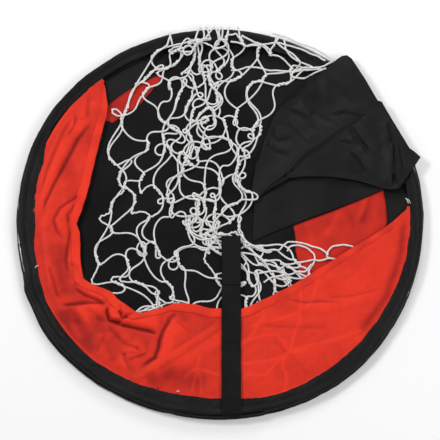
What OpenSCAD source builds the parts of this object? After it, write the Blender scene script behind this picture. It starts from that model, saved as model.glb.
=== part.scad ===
// Folding chipping net: two wire hoops in black sleeves, sewn together along one edge, with a
// red target face, a knotted net pocket, black gussets and a webbing strap. It lies folded flat.
// +Z is up and the origin is the centre of the stack, on the surface that it lies on.

/* [Hoops] */
// Outer diameter of both hoops over their sleeves
hoop_d = 508; // [480:4:540]
// Diameter of the spring-steel wire
wire_d = 3; // [2:0.1:3.4]
// Width of the tunnel that the wire runs in
tunnel_w = 9; // [8:0.5:11]
// Height of the tunnel
tunnel_h = 6.8; // [6.4:0.1:7.4]
// Thickness of the sleeve's cloth
sleeve_wall = 0.8; // [0.6:0.05:0.9]
// Width of the sewn seam inside the tunnel
seam_w = 10; // [8:0.5:12]
// Length of the crimped ferrule that joins a wire's ends
ferrule_length = 40; // [25:1:60]
// Wall of the ferrule
ferrule_wall = 0.6; // [0.4:0.05:0.65]
// Gap between the two folded hoops
fold_gap = 0.3; // [0.2:0.05:0.6]

/* [Cloth] */
// Thickness of the panels' cloth
cloth_t = 0.6; // [0.5:0.05:0.7]
// Radius of the red disc in the base
base_disc_r = 208; // [190:1:214]
// Width of the lap seam between the red disc and its black border
base_lap_w = 8; // [5:1:12]
// Height of the folds in the target face
face_fold_h = 0.8; // [0.2:0.1:0.9]
// Width of the hem round the target opening
hem_w = 8; // [5:0.5:10]
// Height of the folds in the rear flap
flap_fold_h = 1.2; // [0.2:0.1:2]
// Width of the double-stitched hem on the rear flap
flap_hem_w = 9; // [6:0.5:12]

/* [Net] */
// Diameter of the net's braided cord
cord_d = 2.5; // [1.8:0.1:2.6]
// Rows of meshes from the rim to the foot of the net
net_rows = 12; // [8:1:14]
// Meshes across the net
net_columns = 7; // [5:1:8]
// Width of the bend where two strands are knotted
knot_width = 3.4; // [3:0.1:4]
// How far a slack leg bows sideways
leg_bow = 5; // [0:0.5:8]

/* [Strap] */
// Width of the webbing strap
strap_w = 24; // [20:1:30]
// Thickness of the webbing
strap_t = 1.6; // [1.2:0.1:2]
// Free length of the strap
strap_length = 214; // [150:2:230]
// Sideways place of the strap's centre line
strap_x = 14; // [0:1:20]
// Length of the strap's sewn end on the hoop
anchor_length = 17; // [14:1:18]
// Length of the hook patch on the strap's free end
hook_length = 60; // [30:5:80]
// Length of the loop patch under the strap near its root
loop_length = 70; // [30:5:80]

/* [Hinge] */
// Length of the hinge tape round the edge where the hoops are sewn together
hinge_tape_length = 110; // [60:5:160]
// Thickness of the hinge tape
hinge_tape_t = 0.8; // [0.6:0.1:1.2]

/* [Hidden] */

black_cloth = "#1d1d1f";
black_webbing = "#262628";
red_cloth = "#e5392c";
net_white = "#eeece8";
spring_steel = "#8d9094";

hoop_r = hoop_d / 2;
tunnel_r = tunnel_h / 2;
ferrule_r = wire_d / 2 + ferrule_wall;
crimp_gap = 0.05;                          // between the wire and the ferrule round it
wire_gap = 0.2;                            // between the ferrule and the tunnel's outer wall
wire_ring_r = hoop_r - sleeve_wall - ferrule_r - crimp_gap - wire_gap;
wire_end_gap = 2;                          // between the two ends inside the ferrule
seam_in_r = hoop_r - tunnel_w - seam_w;    // inner edge of the sleeve's seam
panel_r = hoop_r - tunnel_w - 1;           // how far a panel reaches into the seam
seam_half = cloth_t / 2 + 0.6;             // half the seam's thickness, cloth included

base_mid = tunnel_r;                       // height of the base panel
target_low = tunnel_h + fold_gap;          // underside of the target hoop
target_mid = target_low + tunnel_r;        // height of the target face
target_top = target_low + tunnel_h;
apron_low = base_mid + seam_half;          // the apron lies on the red disc
leaf_low = apron_low + cloth_t;            // the gussets' lower leaves lie on the apron
leaf_step = 0.3;                           // air between two folded leaves
leaf_at_rim = target_mid - seam_half - cloth_t;   // a gusset meets the target hoop's seam here

wire_arc = wire_end_gap / wire_ring_r * 180 / PI;
ferrule_arc = ferrule_length / wire_ring_r * 180 / PI;
base_joint_angle = 318;                    // where each wire's ends meet
target_joint_angle = 236;

// ---- hoops -----------------------------------------------------------------------------------

module ring_section(mid, r_out, r_in) {
    translate([wire_ring_r, mid])
        difference() {
            circle(r = r_out, $fn = 48);
            if (r_in > 0)
                circle(r = r_in, $fn = 48);
        }
}

module hoop_wire(mid, joint_angle) {
    color(spring_steel)
        rotate([0, 0, joint_angle + wire_arc / 2])
            rotate_extrude(angle = 360 - wire_arc, $fn = 180)
                ring_section(mid, wire_d / 2, 0);
}

module hoop_ferrule(mid, joint_angle) {
    color(spring_steel)
        rotate([0, 0, joint_angle - ferrule_arc / 2])
            rotate_extrude(angle = ferrule_arc, $fn = 180)
                ring_section(mid, ferrule_r + crimp_gap, wire_d / 2 + crimp_gap);
}

// The tunnel's section, drawn at its outer or its inner face, with ends of twelve flats a turn
module tunnel_section(mid, inset) {
    r = tunnel_r - inset;
    for (x = [hoop_r - tunnel_r, hoop_r - tunnel_w + tunnel_r])
        translate([x, mid])
            circle(r = r, $fn = 12);
    translate([hoop_r - tunnel_w + tunnel_r, mid - r])
        square([tunnel_w - 2 * tunnel_r, 2 * r]);
}

// The sleeve is one strip folded round the wire; its two edges hold the panel between them
module hoop_sleeve(mid) {
    color(black_cloth)
        rotate_extrude($fn = 180)
            difference() {
                union() {
                    tunnel_section(mid, 0);
                    translate([seam_in_r, mid - seam_half])
                        square([seam_w + sleeve_wall / 2, 2 * seam_half]);
                }
                tunnel_section(mid, sleeve_wall);
                translate([seam_in_r - 1, mid - cloth_t / 2])
                    square([panel_r - seam_in_r + 1, cloth_t]);
            }
}

module hinge_tape(low, high) {
    half_arc = hinge_tape_length / 2 / hoop_r * 180 / PI;
    color(black_webbing)
        rotate([0, 0, 270 - half_arc])
            rotate_extrude(angle = 2 * half_arc, $fn = 180)
                translate([hoop_r + 0.05, low])
                    square([hinge_tape_t, high - low]);
}

// ---- base ------------------------------------------------------------------------------------

module flat_ring(r_out, r_in, z, t) {
    translate([0, 0, z])
        difference() {
            cylinder(r = r_out, h = t, $fn = 180);
            if (r_in > 0)
                translate([0, 0, -1])
                    cylinder(r = r_in, h = t + 2, $fn = 180);
        }
}

module base_border_panel() {
    color(black_cloth)
        flat_ring(panel_r, base_disc_r - base_lap_w, base_mid - cloth_t / 2, cloth_t);
}

// The red disc laps over the border's inner edge
module base_red_panel() {
    color(red_cloth)
        flat_ring(base_disc_r, 0, base_mid + cloth_t / 2, cloth_t);
}

// Where the apron stops, so that the red disc shows: right of a straight edge, and in a cut-away
apron_edge_x = 92;
cutaway_r = 186;
cutaway_from = 104;
cutaway_to = 138;

module sector(from, to) {
    reach = 2 * hoop_r;
    polygon([[0, 0], reach * [cos(from), sin(from)], reach * [cos(to), sin(to)]]);
}

module floor_apron() {
    color(black_cloth)
        translate([0, 0, apron_low])
            linear_extrude(height = cloth_t)
                difference() {
                    circle(r = panel_r, $fn = 180);
                    polygon([fold_line[1] + [apron_edge_x - fold_line[1][0], 2], fold_line[2],
                             [hoop_r, fold_line[2][1]], [hoop_r, -hoop_r],
                             [apron_edge_x, -hoop_r]]);
                    intersection() {
                        difference() {
                            circle(r = hoop_r, $fn = 180);
                            circle(r = cutaway_r, $fn = 180);
                        }
                        sector(cutaway_from, cutaway_to);
                    }
                }
}

// ---- gussets: black cloth walls between the hoops, folded inwards ------------------------------

fold_line = [[42, -24], [84, -7], [200, 41]];   // the right gusset's fold, left to right
left_fold_r = 182;                               // the left gusset's fold is round
left_from = 142;
left_to = 262;
right_to = 60;

// One sheet in two leaves: out of the base hoop's seam to the fold and back to the target hoop
module left_gusset() {
    upper = leaf_low + cloth_t + leaf_step;
    climb_r = seam_in_r - 14;
    fold_in = left_fold_r - cloth_t;
    color(black_cloth)
        rotate([0, 0, left_from])
            rotate_extrude(angle = left_to - left_from, $fn = 180)
                polygon([[fold_in, leaf_low], [panel_r, leaf_low], [panel_r, leaf_low + cloth_t],
                         [left_fold_r, leaf_low + cloth_t], [left_fold_r, upper],
                         [climb_r, upper], [seam_in_r, leaf_at_rim], [panel_r, leaf_at_rim],
                         [panel_r, leaf_at_rim + cloth_t], [seam_in_r, leaf_at_rim + cloth_t],
                         [climb_r, upper + cloth_t], [fold_in, upper + cloth_t]]);
}

module right_outline() {
    intersection() {
        circle(r = panel_r, $fn = 180);
        sector(-5, right_to);
        polygon([fold_line[0], fold_line[1], fold_line[2], [hoop_r, 52], [hoop_r, hoop_r],
                 [fold_line[0][0], hoop_r]]);
    }
}

module right_gusset() {
    color(black_cloth)
        difference() {
            translate([0, 0, leaf_low])
                linear_extrude(height = leaf_at_rim + cloth_t - leaf_low)
                    right_outline();
            // the air between the leaves, open all round but at the fold
            translate([cloth_t / 2, cloth_t, leaf_low + cloth_t])
                linear_extrude(height = leaf_at_rim - leaf_low - cloth_t)
                    polygon([fold_line[0] - [hoop_r, 0], fold_line[0], fold_line[1], fold_line[2],
                             [2 * hoop_r, 52], [2 * hoop_r, 2 * hoop_r],
                             [-hoop_r, 2 * hoop_r]]);
        }
}

// ---- sheets: a grid of points on the upper face becomes a closed thin solid -------------------

module sheet_solid(grid, t) {
    rows = len(grid);
    cols = len(grid[0]);
    n = rows * cols;
    top = [for (row = grid) for (p = row) p];
    bottom = [for (p = top) p - [0, 0, t]];
    cells = [for (i = [0:rows - 2]) for (j = [0:cols - 2]) i * cols + j];
    top_faces = [for (a = cells) each [[a, a + cols, a + 1], [a + 1, a + cols, a + cols + 1]]];
    bottom_faces = [for (f = top_faces) [n + f[0], n + f[2], n + f[1]]];
    rim = concat([for (j = [0:cols - 2]) j],
                 [for (i = [0:rows - 2]) i * cols + cols - 1],
                 [for (j = [cols - 1:-1:1]) (rows - 1) * cols + j],
                 [for (i = [rows - 1:-1:1]) i * cols]);
    count = len(rim);
    side_faces = [for (k = [0:count - 1]) let (a = rim[k], b = rim[(k + 1) % count])
        each [[a, b, n + a], [b, n + b, n + a]]];
    polyhedron(points = concat(top, bottom), faces = concat(top_faces, bottom_faces, side_faces));
}

function ease(t) = let (c = min(1, max(0, t))) c * c * (3 - 2 * c);
function mix(a, b, t) = a + (b - a) * t;
function unit(p) = p / max(0.001, norm(p));

// ---- target face: a slack red crescent, from the upper left round to a tip at the right --------

// The opening's edge as [angle, radius] on a 508 mm hoop; the rest of its bottom edge is a chord
face_edge = [[128, 236], [134, 203], [146, 182], [157, 172], [175, 173], [181, 179], [186, 175],
             [195, 180], [205, 188], [213, 169], [230, 159], [241, 131], [247, 119],
             [270, 115.5], [282, 119.5]];
chord_start = [26, -117];
chord_end = [236, 18];
face_first = 130;
face_last = 363;
face_steps = 56;
face_cells = 7;
face_flat_r = seam_in_r - 1;               // the face lies flat from the seam in to here

function chord_r(a) = let (d = chord_end - chord_start)
    (chord_start[0] * d[1] - chord_start[1] * d[0]) / (cos(a) * d[1] - sin(a) * d[0]);
function opening_r(a) = min(seam_in_r - 6,
                            (a < 282 ? lookup(a, face_edge) : chord_r(a)) * hoop_r / 254);
function face_fold(a, r) = ease((face_flat_r - r) / 14)
    * face_fold_h * (0.7 + 0.3 * sin(3 * r - 2 * a) + 0.2 * sin(7 * a + r));
// Ring 0 lies in the seam, ring 1 at its edge, and the last two are the hem's edges
function face_ring_r(a, j) = let (
    edge = opening_r(a),
    band = min(hem_w, (face_flat_r - edge) / 2))
    j == 0 ? panel_r
    : j == face_cells ? edge
    : mix(face_flat_r, edge + band, (j - 1) / (face_cells - 2));
function face_point(a, r) = [r * cos(a), r * sin(a), target_mid + cloth_t / 2 + face_fold(a, r)];
face_grid = [for (i = [0:face_steps]) let (a = mix(face_first, face_last, i / face_steps))
    [for (j = [face_cells:-1:0]) face_point(a, face_ring_r(a, j))]];

module target_face_panel() {
    color(red_cloth)
        sheet_solid(face_grid, cloth_t);
}

// The hem lies on the face, along the edge of the opening
module target_opening_hem() {
    color(red_cloth)
        sheet_solid([for (row = face_grid) [row[0] + [0, 0, cloth_t], row[1] + [0, 0, cloth_t]]],
                    cloth_t);
}

// ---- rear flap: black cloth folded in over the rim ----------------------------------------------

// Pairs of points, on the flap's outer edge at the rim and on its inner edge
flap_pairs = [[[143, 205], [112, 200]], [[155, 217], [80, 150]], [[165, 217], [56, 95]],
              [[198, 156], [42, 23]], [[204, 153], [86, 54]], [[235, 95], [122, 59]],
              [[249, 81], [174, 49]], [[245, 70], [208, 37]], [[238, 48], [226, 39]]];
flap_steps = 24;
flap_cells = 12;

function flap_pair(u, side) = let (
    s = u * (len(flap_pairs) - 1),
    k = min(len(flap_pairs) - 2, floor(s)))
    mix(flap_pairs[k][side], flap_pairs[k + 1][side], s - k) * hoop_r / 254;
function flap_height(p) = let (
    r = norm(p),
    inside = target_mid + seam_half + 0.3 + cloth_t,
    over = target_top + 0.3 + cloth_t,
    along = 0.77 * p[0] - 0.64 * p[1])
    mix(inside, over, ease((r - seam_in_r + 16) / 16))
        + flap_fold_h * 0.5 * (1 + sin(5 * along));
function flap_point(u, v) = let (p = mix(flap_pair(u, 0), flap_pair(u, 1), v))
    [p[0], p[1], flap_height(p)];
function flap_v(u, j) = let (
    span = norm(flap_pair(u, 0) - flap_pair(u, 1)),
    hem = min(0.4, flap_hem_w / span))
    j == flap_cells ? 1 : (1 - hem) * j / (flap_cells - 1);
flap_grid = [for (i = [0:flap_steps]) let (u = i / flap_steps)
    [for (j = [0:flap_cells]) flap_point(u, flap_v(u, j))]];

module rear_flap() {
    color(black_cloth)
        sheet_solid(flap_grid, cloth_t);
}

// The double-stitched hem runs along the flap's curved inner edge
module rear_flap_hem() {
    first = ceil(flap_steps * 4 / 8);
    color(black_cloth)
        sheet_solid([for (i = [first:flap_steps]) let (row = flap_grid[i])
                        [row[flap_cells - 1] + [0, 0, cloth_t], row[flap_cells] + [0, 0, cloth_t]]],
                    cloth_t);
}

// ---- net: a knotted diamond net, gathered at the rim and spread over the opening ---------------

net_z = leaf_low + 2 * cloth_t + leaf_step + cord_d / 2 + 0.4;
net_over_rim = target_top + cord_d / 2 + 0.3;
net_top_y = 249.5;
net_foot_y = -104;
knot_reach = 0.5 * cord_d;                 // from a knot's middle to a strand's bend
knot_share = 0.01;                         // share of the net's width that gives a bend's slope
net_left = [[-104, -135], [-60, -160], [0, -165], [60, -150], [110, -100], [150, -52],
            [190, -46], [225, -70], [250, -84]];
net_right = [[-104, 125], [-70, 100], [-40, 34], [0, 28], [100, 30], [150, 34], [190, 34],
             [225, 50], [250, 70]];

// A point of the net from its share across (u) and down (v), before it is lifted
function net_flat(u, v) = let (
    y = mix(net_top_y, net_foot_y, v),
    x0 = lookup(y, net_left),
    x1 = lookup(y, net_right),
    rim_drop = y > 190 ? (y - 190) * 0.45 * pow((mix(x0, x1, u)) / 90, 2) : 0)
    [mix(x0, x1, u), y - rim_drop + 10 * sin(360 * u) * sin(180 * v)] * hoop_r / 254;
function net_height(p) = mix(net_z, net_over_rim, p[1] > 0 ? ease((norm(p) - 192) / 36) : 0);
function net_point(u, v) = let (p = net_flat(u, v)) [p[0], p[1], net_height(p)];

// Where the two strands of a knot lie: its middle, the way along it and the way across it
function knot_frame(u, v) = let (
    along = unit(net_point(u + knot_share, v) - net_point(u - knot_share, v)))
    [net_point(u, v), along, unit([-along[1], along[0], 0])];

// One strand zigzags between two rows of knots. Each bend is a short bar that kisses the bend of
// the next strand, and the middle of a leg bows sideways.
function bend_middle(i, j) = let (
    low = (i + j) % 2,
    knot = knot_frame(j / 2 / net_columns, (i + low) / net_rows))
    knot[0] + knot_reach * (low == 1 ? 1 : -1) * knot[2];
function strand_points(i) = [
    for (j = [0:2 * net_columns])
        let (
            low = (i + j) % 2,
            knot = bend_middle(i, j),
            bar = knot_frame(j / 2 / net_columns, (i + low) / net_rows)[1] * knot_width / 2,
            next = bend_middle(i, j + 1),
            run = unit(next - knot),
            bow = leg_bow * sin(137 * (3 * i + j)),
            bent = (knot + next) / 2 + bow * [run[1], -run[0], 0])
        each j < 2 * net_columns
            ? [knot - bar, knot + bar, [bent[0], bent[1], net_height(bent)]]
            : [knot - bar, knot + bar]];

// A tube of five sides along a list of points, mitred where it bends
module cord_tube(path, thick) {
    sides = 5;
    n = len(path);
    rings = [for (k = [0:n - 1])
        let (
            into = unit(path[k] - path[max(0, k - 1)]),
            out = unit(path[min(n - 1, k + 1)] - path[k]),
            run = unit(into + out),
            mitre = thick / 2 / max(0.6, max(run * into, run * out)),
            side = [run[1], -run[0], 0] / norm([run[0], run[1]]),
            rise = cross(side, run))
        for (s = [0:sides - 1])
            path[k] + mitre * side * cos(360 * s / sides) + thick / 2 * rise * sin(360 * s / sides)];
    walls = [for (k = [0:n - 2]) for (s = [0:sides - 1])
        let (a = sides * k + s, b = sides * k + (s + 1) % sides)
        each [[a, a + sides, b], [b, a + sides, b + sides]]];
    ends = [[for (s = [0:sides - 1]) s], [for (s = [sides - 1:-1:0]) sides * (n - 1) + s]];
    polyhedron(points = rings, faces = concat(walls, ends));
}

module net() {
    color(net_white)
        for (i = [0:net_rows - 1])
            cord_tube(strand_points(i), cord_d);
}

// Loops of cord that bind the net's head to the hoop, over the rim
module net_rim_loops() {
    loop_r = tunnel_r + cord_d / 2 + 0.5;
    color(net_white)
        for (a = [112, 104, 72])
            rotate([0, 0, a])
                translate([hoop_r - tunnel_r, 0, target_mid])
                    rotate([90, 0, 0])
                        rotate_extrude(angle = 90, $fn = 60)
                            translate([loop_r, 0])
                                circle(d = cord_d, $fn = 24);
}

// ---- strap --------------------------------------------------------------------------------------

strap_low = target_top + 0.3;              // underside of the strap over the rim
anchor_y = -hoop_r + 1;                    // outer end of the sewn part
pivot_y = anchor_y + anchor_length;        // the strap bends here
strap_in = target_mid + seam_half + 1.6;   // underside of the strap over the face
strap_root = pivot_y + fold_gap;
strap_tip = strap_root + strap_length;

module webbing(profile, w) {
    translate([strap_x + w / 2, 0, 0])
        rotate([90, 0, -90])
            linear_extrude(height = w)
                polygon(profile);
}

// A profile is drawn with its x along -Y, as webbing() turns it
module strap_anchor() {
    color(black_webbing)
        translate([strap_x - strap_w / 2, anchor_y, strap_low])
            cube([strap_w, anchor_length, strap_t]);
}

module closure_strap() {
    over_y = strap_root + 6;               // the strap leaves the sleeve here
    down_y = over_y + 20;                  // and lies on the face from here on
    color(black_webbing)
        webbing([[-strap_root, strap_low], [-over_y, strap_low], [-down_y, strap_in],
                 [-strap_tip, strap_in], [-strap_tip, strap_in + strap_t],
                 [-down_y, strap_in + strap_t], [-over_y, strap_low + strap_t],
                 [-strap_root, strap_low + strap_t]], strap_w);
}

patch_t = 1.0;
patch_margin = 1;                          // webbing left bare beside a patch
hook_end_margin = 4;                       // and beyond the hook patch, at the tip
loop_start = 34;                           // from the strap's root to the loop patch

module patch(y, length, z) {
    color(black_cloth)
        translate([strap_x - strap_w / 2 + patch_margin, y, z])
            cube([strap_w - 2 * patch_margin, length, patch_t]);
}

// The hook patch faces up at the tip, and the loop patch faces the target
module strap_hook_patch() {
    patch(strap_tip - hook_length - hook_end_margin, hook_length, strap_in + strap_t);
}

module strap_loop_patch() {
    patch(strap_root + loop_start, loop_length, strap_in - patch_t);
}

module base_hoop_wire() { hoop_wire(base_mid, base_joint_angle); }
module base_hoop_ferrule() { hoop_ferrule(base_mid, base_joint_angle); }
module base_hoop_sleeve() { hoop_sleeve(base_mid); }
module base_hinge_tape() { hinge_tape(1, tunnel_h); }
module target_hoop_wire() { hoop_wire(target_mid, target_joint_angle); }
module target_hoop_ferrule() { hoop_ferrule(target_mid, target_joint_angle); }
module target_hoop_sleeve() { hoop_sleeve(target_mid); }
module target_hinge_tape() { hinge_tape(target_low, target_top - 1); }

base_hoop_wire();
base_hoop_ferrule();
base_hoop_sleeve();
base_border_panel();
base_red_panel();
floor_apron();
base_hinge_tape();
left_gusset();
right_gusset();
target_hoop_wire();
target_hoop_ferrule();
target_hoop_sleeve();
target_hinge_tape();
target_face_panel();
target_opening_hem();
rear_flap();
rear_flap_hem();
net();
net_rim_loops();
strap_anchor();
closure_strap();
strap_hook_patch();
strap_loop_patch();
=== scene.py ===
import math

import bpy
import numpy as np
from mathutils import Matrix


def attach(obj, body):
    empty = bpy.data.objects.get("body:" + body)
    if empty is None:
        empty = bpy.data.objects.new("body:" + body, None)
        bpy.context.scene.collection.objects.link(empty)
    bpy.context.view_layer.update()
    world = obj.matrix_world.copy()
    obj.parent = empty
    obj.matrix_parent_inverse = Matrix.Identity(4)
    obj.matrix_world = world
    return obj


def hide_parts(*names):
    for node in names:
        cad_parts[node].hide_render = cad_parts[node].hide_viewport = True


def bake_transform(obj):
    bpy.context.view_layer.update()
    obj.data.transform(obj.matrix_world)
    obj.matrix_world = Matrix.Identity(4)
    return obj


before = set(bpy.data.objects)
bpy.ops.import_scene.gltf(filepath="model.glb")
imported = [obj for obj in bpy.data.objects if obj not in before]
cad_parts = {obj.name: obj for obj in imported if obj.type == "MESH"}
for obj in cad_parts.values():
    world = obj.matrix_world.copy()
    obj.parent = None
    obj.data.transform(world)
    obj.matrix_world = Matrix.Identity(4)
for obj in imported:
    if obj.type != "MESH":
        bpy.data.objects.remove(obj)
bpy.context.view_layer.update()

# ---- View ----------------------------------------------------------------------------------------
# A pale floor under soft studio lamps, and a long lens that looks down on the folded net from
# 18 degrees off the vertical.

scene = bpy.context.scene
scene.view_settings.view_transform = "Standard"


def add_object(name, data, material=None):
    """Puts a camera, a lamp or a mesh into the scene."""
    made = bpy.data.objects.new(name, data)
    scene.collection.objects.link(made)
    if material:
        data.materials.append(material)
    return made


camera_data = bpy.data.cameras.new("camera")
camera_data.lens = 394.0
camera_data.clip_end = 20.0
camera = add_object("camera", camera_data)
tilt, distance, aim_height = math.radians(72), 6.0, 0.0105
camera.location = (0.0, -distance * math.cos(tilt), aim_height + distance * math.sin(tilt))
camera.rotation_euler = (math.radians(90) - tilt, 0, 0)
scene.camera = camera

world = bpy.data.worlds.new("studio")
world.use_nodes = True
world.node_tree.nodes["Background"].inputs["Color"].default_value = (1, 1, 1, 1)
world.node_tree.nodes["Background"].inputs["Strength"].default_value = 0.29
scene.world = world

for name, place, size, watts in (
    ("key_lamp", (-1.1, 0.5, 1.5), 0.5, 14.5),
    ("fill_lamp", (1.1, -0.5, 1.4), 1.0, 11.0),
    ("back_lamp", (0.3, 1.4, 1.1), 0.6, 8.5),
):
    lamp_data = bpy.data.lights.new(name, "AREA")
    lamp_data.energy = watts
    lamp_data.size = size
    lamp = add_object(name, lamp_data)
    lamp.location = place
    lamp.rotation_euler = (math.acos(place[2] / np.linalg.norm(place)), 0,
                           math.atan2(place[0], -place[1]))


class Socket:
    """A shader output that takes part in sums; every operator adds its Math node."""

    def __init__(self, finish, out):
        self.finish, self.out = finish, out

    def math(self, operation, *values):
        return self.finish.node("ShaderNodeMath", {"operation": operation}, values)

    def __add__(self, other):
        return self.math("ADD", self, other)

    def __sub__(self, other):
        return self.math("SUBTRACT", self, other)

    def __rsub__(self, other):
        return self.math("SUBTRACT", other, self)

    def __mul__(self, other):
        return self.math("MULTIPLY", self, other)

    __radd__ = __add__
    __rmul__ = __mul__

    def sine(self):
        return self.math("SINE", self)

    def angle(self, other):
        return self.math("ARCTAN2", self, other)

    def clamped(self):
        return self.math("MINIMUM", self.math("MAXIMUM", self, 0.0), 1.0)


class Finish:
    """A material under way: one Principled shader, and node() as the one way to add a node."""

    def __init__(self, name, color, roughness, **fixed):
        self.material = bpy.data.materials.new(name)
        self.material.use_nodes = True
        self.tree = self.material.node_tree
        self.shader = self.tree.nodes["Principled BSDF"]
        self.set("Base Color", (*color, 1))
        self.set("Roughness", roughness)
        for key, value in fixed.items():
            self.set(key.replace("_", " "), value)

    def set(self, socket, value, node=None):
        target = (node or self.shader).inputs[socket]
        if isinstance(value, Socket):
            self.tree.links.new(value.out, target)
        else:
            target.default_value = value

    def node(self, kind, settings, inputs, out=0):
        made = self.tree.nodes.new(kind)
        for key, value in settings.items():
            setattr(made, key, value)
        for key, value in inputs.items() if isinstance(inputs, dict) else enumerate(inputs):
            self.set(key, value, made)
        return Socket(self, made.outputs[out])

    def blend_color(self, share, first, second):
        return self.node("ShaderNodeMix", {"data_type": "RGBA"}, {0: share, 6: first, 7: second}, 2)

    def attribute(self, name, out="Fac"):
        return self.node("ShaderNodeAttribute", {"attribute_name": name}, {}, out)

    def parts(self, vector):
        """The x, y and z of a vector."""
        split = self.node("ShaderNodeSeparateXYZ", {}, [vector])
        return [Socket(self, out) for out in split.out.node.outputs]

    def noise(self, where, scale, detail=2.0):
        return self.node("ShaderNodeTexNoise", {"noise_dimensions": "3D"},
                         {"Vector": where, "Scale": scale, "Detail": detail})

    def bump(self, height, strength, distance):
        self.set("Normal", self.node("ShaderNodeBump", {}, {
            "Height": height, "Strength": strength, "Distance": distance}))


floor_paint = Finish("floor_paint", (0.92, 0.92, 0.92), 0.9)
seen = [floor_paint.node("ShaderNodeLightPath", {}, {}, ray)
        for ray in ("Is Camera Ray", "Is Glossy Ray", "Is Transmission Ray")]
glow = floor_paint.node("ShaderNodeEmission", {},
                        {"Color": (0.11, 0.11, 0.11, 1), "Strength": seen[0] + seen[1] + seen[2]})
paint = Socket(floor_paint, floor_paint.shader.outputs[0])
floor_paint.set("Surface", floor_paint.node("ShaderNodeAddShader", {}, [paint, glow]),
                floor_paint.tree.nodes["Material Output"])
floor_mesh = bpy.data.meshes.new("floor")
reach = 4
floor_mesh.from_pydata([(-reach, -reach, 0), (reach, -reach, 0), (reach, reach, 0),
                        (-reach, reach, 0)], [], [(0, 1, 2, 3)])
floor = add_object("floor", floor_mesh, floor_paint.material)
floor.location.z = -0.0004

# ---- Hoop wires and ferrules ---------------------------------------------------------------------
# Each hoop is one length of 3 mm spring-steel wire bent round, its two ends crimped in a steel
# ferrule. The wire keeps the grey drawn finish of spring steel; the ferrule is zinc plated.


def toned(color, share):
    """A colour made darker or paler, with its alpha."""
    return (*[min(1.0, share * c) for c in color], 1)


def steel_finish(name, color, roughness, draw):
    """Steel with fine draw marks along the wire, and a few duller patches."""
    finish = Finish(name, color, roughness, Metallic=1.0)
    where = finish.node("ShaderNodeTexCoord", {}, {}, "Object")
    marks = finish.noise(where, draw, 4.0)
    dull = finish.noise(where, 60.0)
    finish.set("Roughness", roughness + 0.18 * dull)
    finish.set("Base Color", finish.blend_color(dull, (*color, 1), toned(color, 0.8)))
    finish.bump(marks, 0.25, 0.0002)
    return finish.material


spring_steel = steel_finish("spring_steel", (0.42, 0.43, 0.45), 0.3, 1500.0)
ferrule_steel = steel_finish("ferrule_steel", (0.62, 0.62, 0.6), 0.38, 900.0)
for node_name, steel in (("base_hoop_wire", spring_steel), ("target_hoop_wire", spring_steel),
                         ("base_hoop_ferrule", ferrule_steel),
                         ("target_hoop_ferrule", ferrule_steel)):
    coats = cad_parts[node_name].data.materials
    coats.clear()
    coats.append(steel)

# ---- Hoop sleeves --------------------------------------------------------------------------------
# A strip of black polyester folded over the wire and stitched down inside it, so that a soft flat
# lip lies inside a round tunnel. The cloth is cut on the straight and puckers round the curve.

MM = 0.001
hoop_radius = 254                        # outside the sleeves, in mm as all that follows


def add_mesh(name, verts, faces, material, cloth=None):
    """A smooth piece from its points and faces, and the place of each point on its cloth."""
    mesh = bpy.data.meshes.new(name)
    mesh.from_pydata((np.asarray(verts) * MM).tolist(), [], faces)
    if cloth is not None:
        place = mesh.attributes.new("cloth", "FLOAT_VECTOR", "POINT")
        place.data.foreach_set("vector", (cloth * MM).ravel().astype(np.float32))
    mesh.polygons.foreach_set("use_smooth", np.ones(len(mesh.polygons), bool))
    return add_object(name, mesh, material)


def grid_mesh(name, grid, cloth, material, around=(False, False), shade=0.0, lit=0.5):
    """Quads over a (rows, columns) grid of points; around closes it along rows or columns.
    shade is painted shade that darkens creases; lit is painted sheen and fold shade, and on a thin
    cloth also how much it lets through."""
    rows, columns = grid.shape[:2]
    index = np.arange(rows * columns).reshape(rows, columns)
    if around[0]:
        index = np.vstack([index, index[:1]])
    if around[1]:
        index = np.hstack([index, index[:, :1]])
    quads = np.stack([index[:-1, :-1], index[1:, :-1], index[1:, 1:], index[:-1, 1:]], -1)
    piece = add_mesh(name, grid.reshape(-1, 3), quads.reshape(-1, 4).tolist(), material,
                     cloth.reshape(-1, 3))
    for key, given in (("dip", shade), ("lit", lit)):
        values = np.broadcast_to(given, (rows, columns)).astype(np.float32).ravel()
        piece.data.attributes.new(key, "FLOAT", "POINT").data.foreach_set("value", values)
    return piece


def waves(x, y, length, seed, count=8):
    """Smooth seeded unevenness of about the given wavelength, from -1 to 1 or so."""
    rng = np.random.default_rng(seed)
    total = 0.0
    for _ in range(count):
        heading = rng.uniform(0, 2 * math.pi)
        pace = 2 * math.pi / (length * rng.uniform(0.65, 1.6))
        phase = rng.uniform(0, 2 * math.pi)
        total = total + np.sin(pace * (x * math.cos(heading) + y * math.sin(heading)) + phase)
    return total / math.sqrt(count)


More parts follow.
